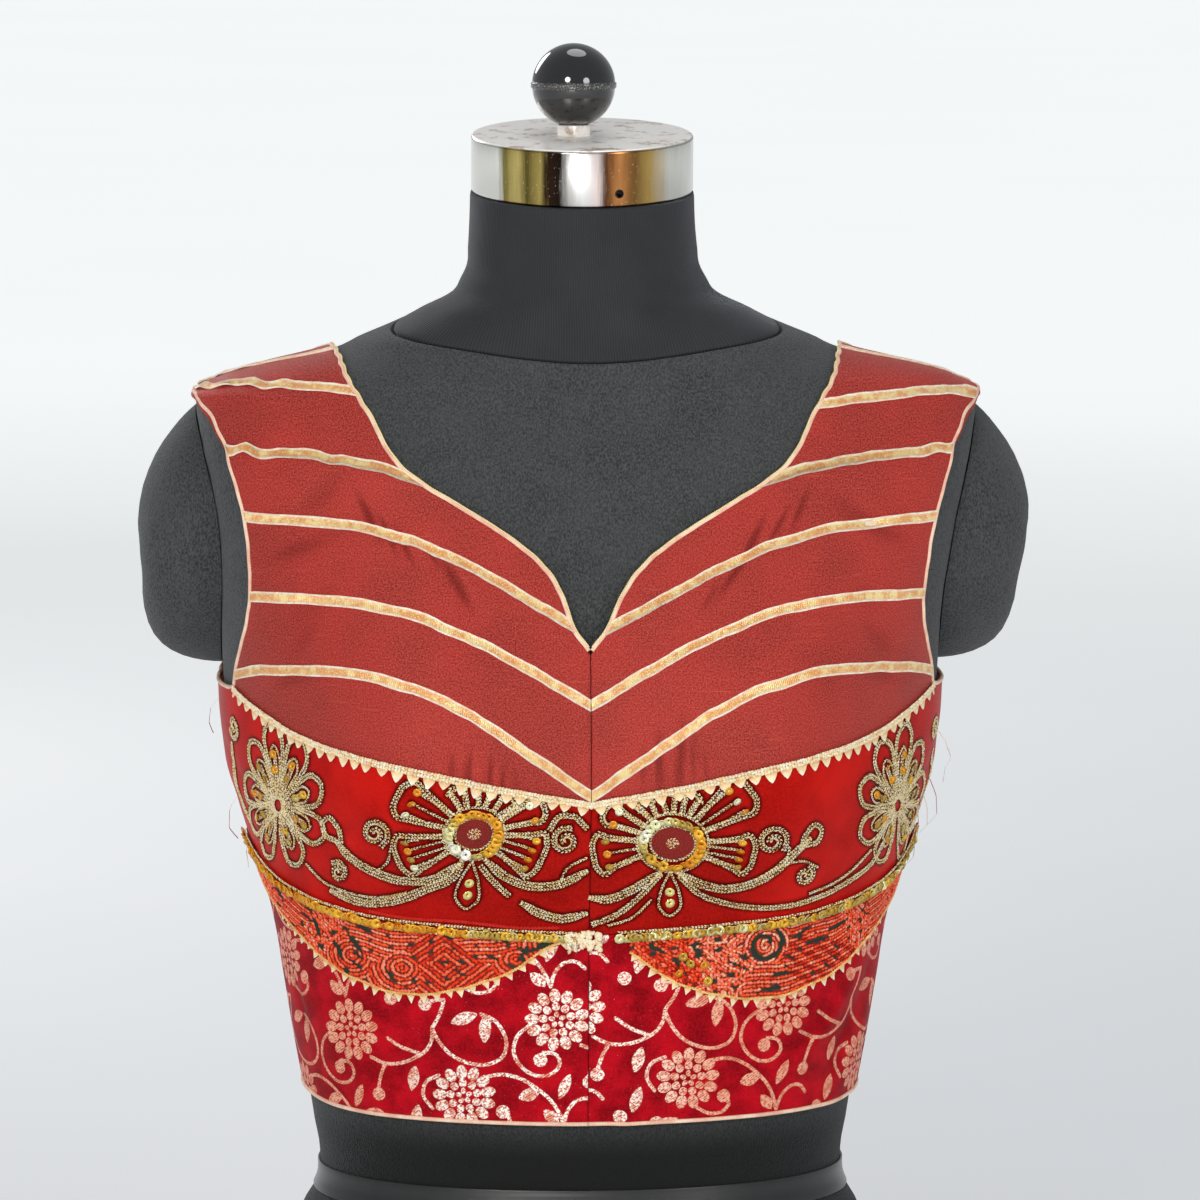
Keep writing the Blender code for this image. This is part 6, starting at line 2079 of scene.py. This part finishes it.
for side_name, side in SIDES:
    columns = np.linspace(CENTRE_ANGLE, CORNER_ANGLE - 0.35, 160)
    heights = height_at(YOKE_HEM, columns) + 1.0
    teeth = lace("cup_lace_" + side_name, side, columns, heights, 7.2, 1.6, 4.4, 1.3, 7 if side > 0 else 8)
    angles, levels, _ = evenly(columns, heights - 0.3, CHAIN_STEP)
    cords("cup_lace_cord_" + side_name, [(stacked(arc_of(side * angles, levels), levels), 2, False)], LACE,
          lift=1.25, size=(2.1, 1.15, 1.0), key="tip")
    columns = np.linspace(CRESCENT_START[side_name], SIDE_ANGLE - 0.4, 240)
    heights = crescent_bottom(side_name, columns)
    lace("crescent_teeth_" + side_name, side, columns, heights + 0.9, 5.9, 0.4, 4.4, 1.0,
         9 if side > 0 else 10, lift=0.25)
    angles, levels, _ = evenly(columns, heights + 0.6, 0.6)
    rope("crescent_cord_" + side_name, frames(side * angles, levels, lift=0.95), 0.45, LACE, 6,
         strands=2, twist=0.35, pitch=2.8)
print(counted(teeth))

# %% Sequin braid
BRAID_PITCH, BRAID_SEQUIN, BRAID_LIFT = 2.2, 4.9, 1.9
AMBER_FROM = {"r": 55.0, "l": 500.0}


def braid(side_name, side):
    columns = np.linspace(3.0 if side_name == "r" else 8.0, SIDE_ANGLE - 0.3, 200)
    angles, levels, _ = evenly(columns, height_at(BAND_HEM, columns) - 0.6, BRAID_PITCH)
    arcs = arc_of(side * angles, levels)
    rng = np.random.default_rng(21 if side > 0 else 22)
    amber, plain = rng.uniform(0.0, 0.3, len(arcs)), rng.choice([0.3, 0.5, 0.55, 0.62, 0.8], len(arcs))
    tones = np.where(np.abs(arcs) > AMBER_FROM[side_name], amber, plain)
    places = stacked(arcs, levels + rng.normal(0, 0.25, len(arcs)))
    sizes = BRAID_SEQUIN * rng.uniform(0.9, 1.05, len(arcs))
    made = sequins("braid_sequins_" + side_name, places, sizes, tones, BRAID_LIFT, 23)
    line = stacked(arcs, levels)[::3]
    cords("braid_chain_" + side_name, [(line + (0.0, 2.4), 1, False), (line - (0.0, 2.1), 1, False)], ZARI,
          lift=1.35, size=(1.6, 0.75, 0.6))
    return made


braids = [braid(side_name, side) for side_name, side in SIDES]
print(counted(braids[0]))

# %% Red rope and centre tuft
red = Finish("red_rope", roughness=0.45, specular_ior_level=0.4, specular_tint=(1.0, 0.4, 0.35, 1.0))
RED_ROPE = red.set(Base_Color=red.mixed(red.noise(red.solid(), 0.8), (176, 20, 18), (214, 52, 44)))
columns = np.linspace(8.0, 52.0, 120)
angles, levels, _ = evenly(columns, height_at(BAND_HEM, columns) + 3.4 + 0.5 * np.sin(columns / 4.0), 0.6)
rope("red_rope_r", frames(-angles, levels, lift=0.35), 0.5, RED_ROPE, 6, strands=2, twist=0.4, pitch=3.2)
rng = np.random.default_rng(31)
TUFT = 110
arcs, levels = rng.uniform(-10.0, 5.5, TUFT), 264.0 + 8.5 * rng.uniform(0, 1, TUFT)
ways = stacked(rng.normal(0, 0.6, TUFT), -np.ones(TUFT))
sizes = stacked(rng.uniform(2.6, 3.6, TUFT), rng.uniform(1.3, 2.0, TUFT), np.full(TUFT, 1.6))
tuft = grains_on_cloth("centre_tuft", GRAIN, stacked(arcs, levels - 0.2 * np.abs(arcs + 2)), ways, sizes,
                       2.2, LACE, {"tip": rng.uniform(0.4, 1.0, TUFT)})
print(counted(tuft))

# %% [markdown]
# ## The back
# The back is plain: a maroon yoke with a scooped neck, the red band, and the brocade waist.
# The figure's waist sinks in there, so the cloth has long soft folds.

# %% Back panels
BACK_YOKE_STEP, BACK_STEP, BACK_LOWER_STEP = 2.2, 2.4, 1.5
seam = line_of(SHOULDER_SEAM, np.linspace(0, 1, 81))
seam = stacked(*moved_across(*seam.T, -SEAM_HALF))[2:-2][::-1]
neck = cut_edge(BACK_NECKLINE, SETBACK)[2:]
neck[-1, 0] = 180.0
armhole = cut_edge(BACK_ARMHOLE, -SETBACK)[2:]
low = UNDERARM_CUT + SEAM_HALF
armhole = armhole[armhole[:, 1] > low + 0.4]
armhole = np.vstack([armhole, (armhole[-1, 0] - 0.4, low)])
across, neck_shares = spaced(120.0, BACK_YOKE_STEP), spaced(150.0, BACK_YOKE_STEP)
centre = np.array([(180.0, neck[-1, 1]), (180.0, low)])
inner = np.vstack([line_of(neck, neck_shares), line_of(centre, np.linspace(0, 1, 4 * 10 + 1)[1:])])
outer = line_of(armhole, np.linspace(0, 1, len(inner)))
top = line_of(np.vstack([outer[:1], seam[2:-1], inner[:1]]), across)
bottom = outer[-1] + (inner[-1] - outer[-1]) * across[:, None]
back_angles, back_heights = patch(top, bottom, outer, inner)
back_yoke = shell("back_yoke_cloth", [(side * back_angles, back_heights) for side in (1.0, -1.0)], SILK,
                  folded_from=len(neck_shares) - 1)


def whole_back(name, top, bottom, height, step, finish, fields=None):
    """The two halves of a back panel, each to its own side, joined down the centre back."""
    columns = 180.0 - SIDE_ANGLE + SIDE_ANGLE * spaced(215.0, step)
    halves = []
    for side in (1.0, -1.0):
        heights = between(top(columns), bottom(side * columns), spaced(height, step))
        halves.append((side * np.broadcast_to(columns, heights.shape), heights))
    return shell(name, halves, finish, folded_from=0, fields=fields)


back_band = whole_back("back_band_cloth", lambda a: UNDERARM_CUT - SEAM_HALF + 0 * a,
                       lambda a: height_at(BACK_BAND_HEM, abs(a)) + SEAM_HALF, 78.0, BACK_STEP, SATIN)
back_waist = whole_back("back_waist_cloth", lambda a: height_at(BACK_BAND_HEM, a) - SEAM_HALF,
                        lambda a: hem_at(a) + SETBACK, 118.0, BACK_LOWER_STEP, *brocade_on("back"))
print(counted(back_yoke), counted(back_band), counted(back_waist))
# %% [markdown]
# ## Bound edges
# The piping is a strip of cloth rolled round a cord. On the neckline a thin twisted gold
# cord is sewn outside it. The hem's piping dips and lifts a little, as a free edge does.

# %% Piping lines
PIPING_RADIUS, PIPING_SINK, PIPING_MIDDLE, PIPING_STEP = 1.0, -0.35, 1.1, 0.9
UNDER_ARM = (
    # angle, how far below the underarm
    (96.5, 0.9), (90.0, 1.1), (82.0, 1.1), (77.5, 1.0),
)


def front_neck(distance):
    edge = cut_edge(NECKLINE, distance, 200)
    return edge[edge[:, 0] > CENTRE_ANGLE].T


def round_armhole():
    """The loop of the armhole: under the arm, up the front and down the back."""
    low = np.array([(angle, UNDERARM_HEIGHT - drop) for angle, drop in UNDER_ARM])
    front = cut_edge(ARMHOLE[1:], PIPING_MIDDLE, 200)[::-1]
    front = front[front[:, 1] > UNDERARM_HEIGHT - PIPING_MIDDLE]
    return np.vstack([low, front[1:], cut_edge(BACK_ARMHOLE, -PIPING_MIDDLE, 200)[3:-2]]).T


def piping(name, angles, heights, closed=False):
    line_frames = frames(angles, heights, lift=PIPING_SINK, closed=closed)
    return rope(name, line_frames, PIPING_RADIUS, PIPING, 10, closed=closed)


for side_name, side in SIDES:
    angles, heights, _ = evenly(*front_neck(-PIPING_MIDDLE), PIPING_STEP)
    neck_roll = piping("neck_roll_" + side_name, side * angles, heights)
    angles, heights, _ = evenly(*front_neck(-0.25), 0.45)
    rope("neck_gold_cord_" + side_name, frames(side * angles, heights, lift=0.3), 0.28, ZARI, 5,
         strands=2, twist=0.25, pitch=2.0, fields={"tone": np.full(5 * len(angles), 0.6)})
    angles, heights, _ = evenly(*round_armhole(), PIPING_STEP, closed=True)
    piping("armhole_roll_" + side_name, side * angles, heights, closed=True)
back_neck = cut_edge(BACK_NECKLINE, PIPING_MIDDLE, 200)
angles, heights, _ = evenly(*back_neck[back_neck[:, 0] < 179.9].T, PIPING_STEP)
heights = np.append(heights, heights[-1])
back_roll = joined([piping("back_neck_half", side * np.append(angles, end), heights)
                    for side, end in ((1.0, 180.0), (-1.0, 179.999))])
back_roll.name = "back_neck_roll"
hem_turn = np.arange(CENTRE_ANGLE, 180.0, 0.45)
hem_turn = np.concatenate([hem_turn, -hem_turn[::-1]])
hem_roll = piping("hem_roll", hem_turn, hem_at(hem_turn) + PIPING_MIDDLE)
print(counted(neck_roll), "and", counted(hem_roll))

# %% [markdown]
# ## Loose threads
# Thread ends hang from the side seams, where the edges of the band and the brocade were
# cut and turned in without being bound.

# %% Frayed ends
FRAYS = (
    # side, then arc, height and lift of points along each thread
    (1, ((218, 352, 1), (223, 346, 5), (219, 340, 8.5), (224, 334, 6),
         (221, 329, 7))),
    (1, ((212, 330, 1), (217, 322, 6), (214, 313, 9), (218.5, 306, 6.5))),
    (1, ((221, 311, 1), (219.5, 304, 4), (223, 296, 6), (219, 289, 7.5),
         (221, 281, 5))),
    (1, ((206, 322, 1), (209, 315, 4), (206, 309, 6), (210, 303, 4))),
    (-1, ((-219, 370, 1), (-224, 364, 5), (-221, 358, 7), (-225, 353, 5))),
    (-1, ((-216, 322, 1), (-221, 315, 5.5), (-217, 308, 8), (-221, 301, 6))),
    (-1, ((-213, 300, 1), (-218, 293, 4.5), (-215, 286, 6))),
)
THREAD_RADIUS = 0.22
frays = []
for number, (side, route) in enumerate(FRAYS):
    line = flat_line([point[:2] for point in route], 0.8)
    lifts = np.interp(np.linspace(0, 1, len(line)), np.linspace(0, 1, len(route)),
                      [point[2] for point in route])
    centre = drawn(*line.T, lifts)
    lanes = [centre + THREAD_RADIUS * np.array((0.6 * math.cos(turn), math.sin(turn), 0.8 * math.cos(turn)))
             for turn in turns_of(5)]
    frays.append(strip(f"loose_thread_{number}", lanes, SATIN if number % 3 else PIPING))
print("loose threads:", len(frays))

# %% [markdown]
# ## What each piece stands for
# Every piece rides on the one body and takes the place of the plain solids of the packed
# model, and its table also lists the record's material. A second table lists what size each
# cloth was cut to, before it was sewn and stretched over the figure. Nothing on the blouse moves.

# %% Pieces and the solids they replace
STANDS_FOR = {
    # piece: the solid that it takes the place of, its material
    "form_trunk": ("form_torso", "black_jersey"),
    "form_neck": ("", "black_jersey"),
    "form_arm_pad_l": ("form_arm_cap_l", "black_jersey"),
    "form_arm_pad_r": ("form_arm_cap_r", "black_jersey"),
    "form_waist_tape": ("form_waist_band", "grey_tape"),
    "neck_cap": ("form_neck_cap", "polished_metal"),
    "knob_collar": ("form_knob_collar", "polished_metal"),
    "knob_ball": ("form_knob", "black_knob"),
    "back_yoke_cloth": ("back_yoke", "maroon_silk"),
    "back_band_cloth": ("back_band", "red_satin"),
    "back_waist_cloth": ("back_lower", "crimson_brocade"),
    "back_neck_roll": ("neck_piping_back", "cream_piping"),
    "hem_roll": ("hem_piping", "cream_piping"),
    "red_rope_r": ("", "red_satin"),
    "centre_tuft": ("", "cream_lace"),
    "crescent_sequins_l": ("", "sequin_braid"),
}
PAIRS = (
    ("yoke_cloth", "yoke", "maroon_silk"),
    ("band_cloth", "band", "red_satin"),
    ("waist_cloth", "lower", "crimson_brocade"),
    ("crescent_ground", "crescent", "orange_embroidery"),
    ("cup_lace", "yoke_lace", "cream_lace"),
    ("crescent_teeth", "crescent_lace", "cream_lace"),
    ("braid_sequins", "braid", "sequin_braid"),
    ("neck_roll", "neck_piping", "cream_piping"),
    ("armhole_roll", "armhole_piping", "cream_piping"),
    ("crescent_stitches", "", "orange_embroidery"),
    ("cup_lace_cord", "", "cream_lace"),
    ("crescent_cord", "", "cream_lace"),
    ("braid_chain", "", "sequin_braid"),
    ("neck_gold_cord", "", "gold_ribbon"),
    ("band_cords", "", "gold_ribbon"),
    ("band_sequins", "", "sequin_braid"),
    ("flower_disc", "", "maroon_silk"),
)
for side_name, _ in SIDES:
    for piece, node, slot in PAIRS:
        STANDS_FOR[f"{piece}_{side_name}"] = (node and f"{node}_{side_name}", slot)
STANDS_FOR.update({name: (node, "gold_ribbon") for name, (_, node, _) in ribbons.items()})
STANDS_FOR.update({piece.name: ("", "red_satin") for piece in frays})
for name, (node, slot) in STANDS_FOR.items():
    piece = bpy.data.objects[name]
    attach(piece, "root")
    if node:
        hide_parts(node)
print(len(STANDS_FOR), "pieces stand for", sum(1 for node, _ in STANDS_FOR.values() if node), "solids")

# %% Cloth sizes
CUTS = {
    # piece: width, length and area in mm, held, rests on, pieces on it
    "yoke_cloth": (240, 197, 29600, "stretched", "form_torso",
                   ("cup_lace", "cup_lace_cord", "neck_roll", "neck_gold_cord", "armhole_roll")),
    "band_cloth": (245, 107, 19400, "stretched", "form_torso",
                   ("band_cords", "band_sequins", "braid_sequins", "braid_chain")),
    "waist_cloth": (221, 125, 19700, "stretched", "form_torso", ()),
    "crescent_ground": (250, 60, 5300, "laid", "waist_cloth",
                        ("crescent_stitches", "crescent_teeth", "crescent_cord")),
    "flower_disc": (20, 16, 250, "laid", "band_cloth", ()),
}
for name, (width, length, area, held, under, on_it) in CUTS.items():
    for side_name, _ in SIDES:
        tail = "_" + side_name
        others = [bpy.data.objects[other + tail] for other in on_it]
        if name == "yoke_cloth":
            others += [piece for piece, node, _ in ribbons.values() if node.endswith(tail)]
        bpy.data.objects[name + tail]
        under if under == "form_torso" else under + tail

# %% Size
low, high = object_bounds()
print("visual box:", [round(1000 * size) for size in high - low], "mm")
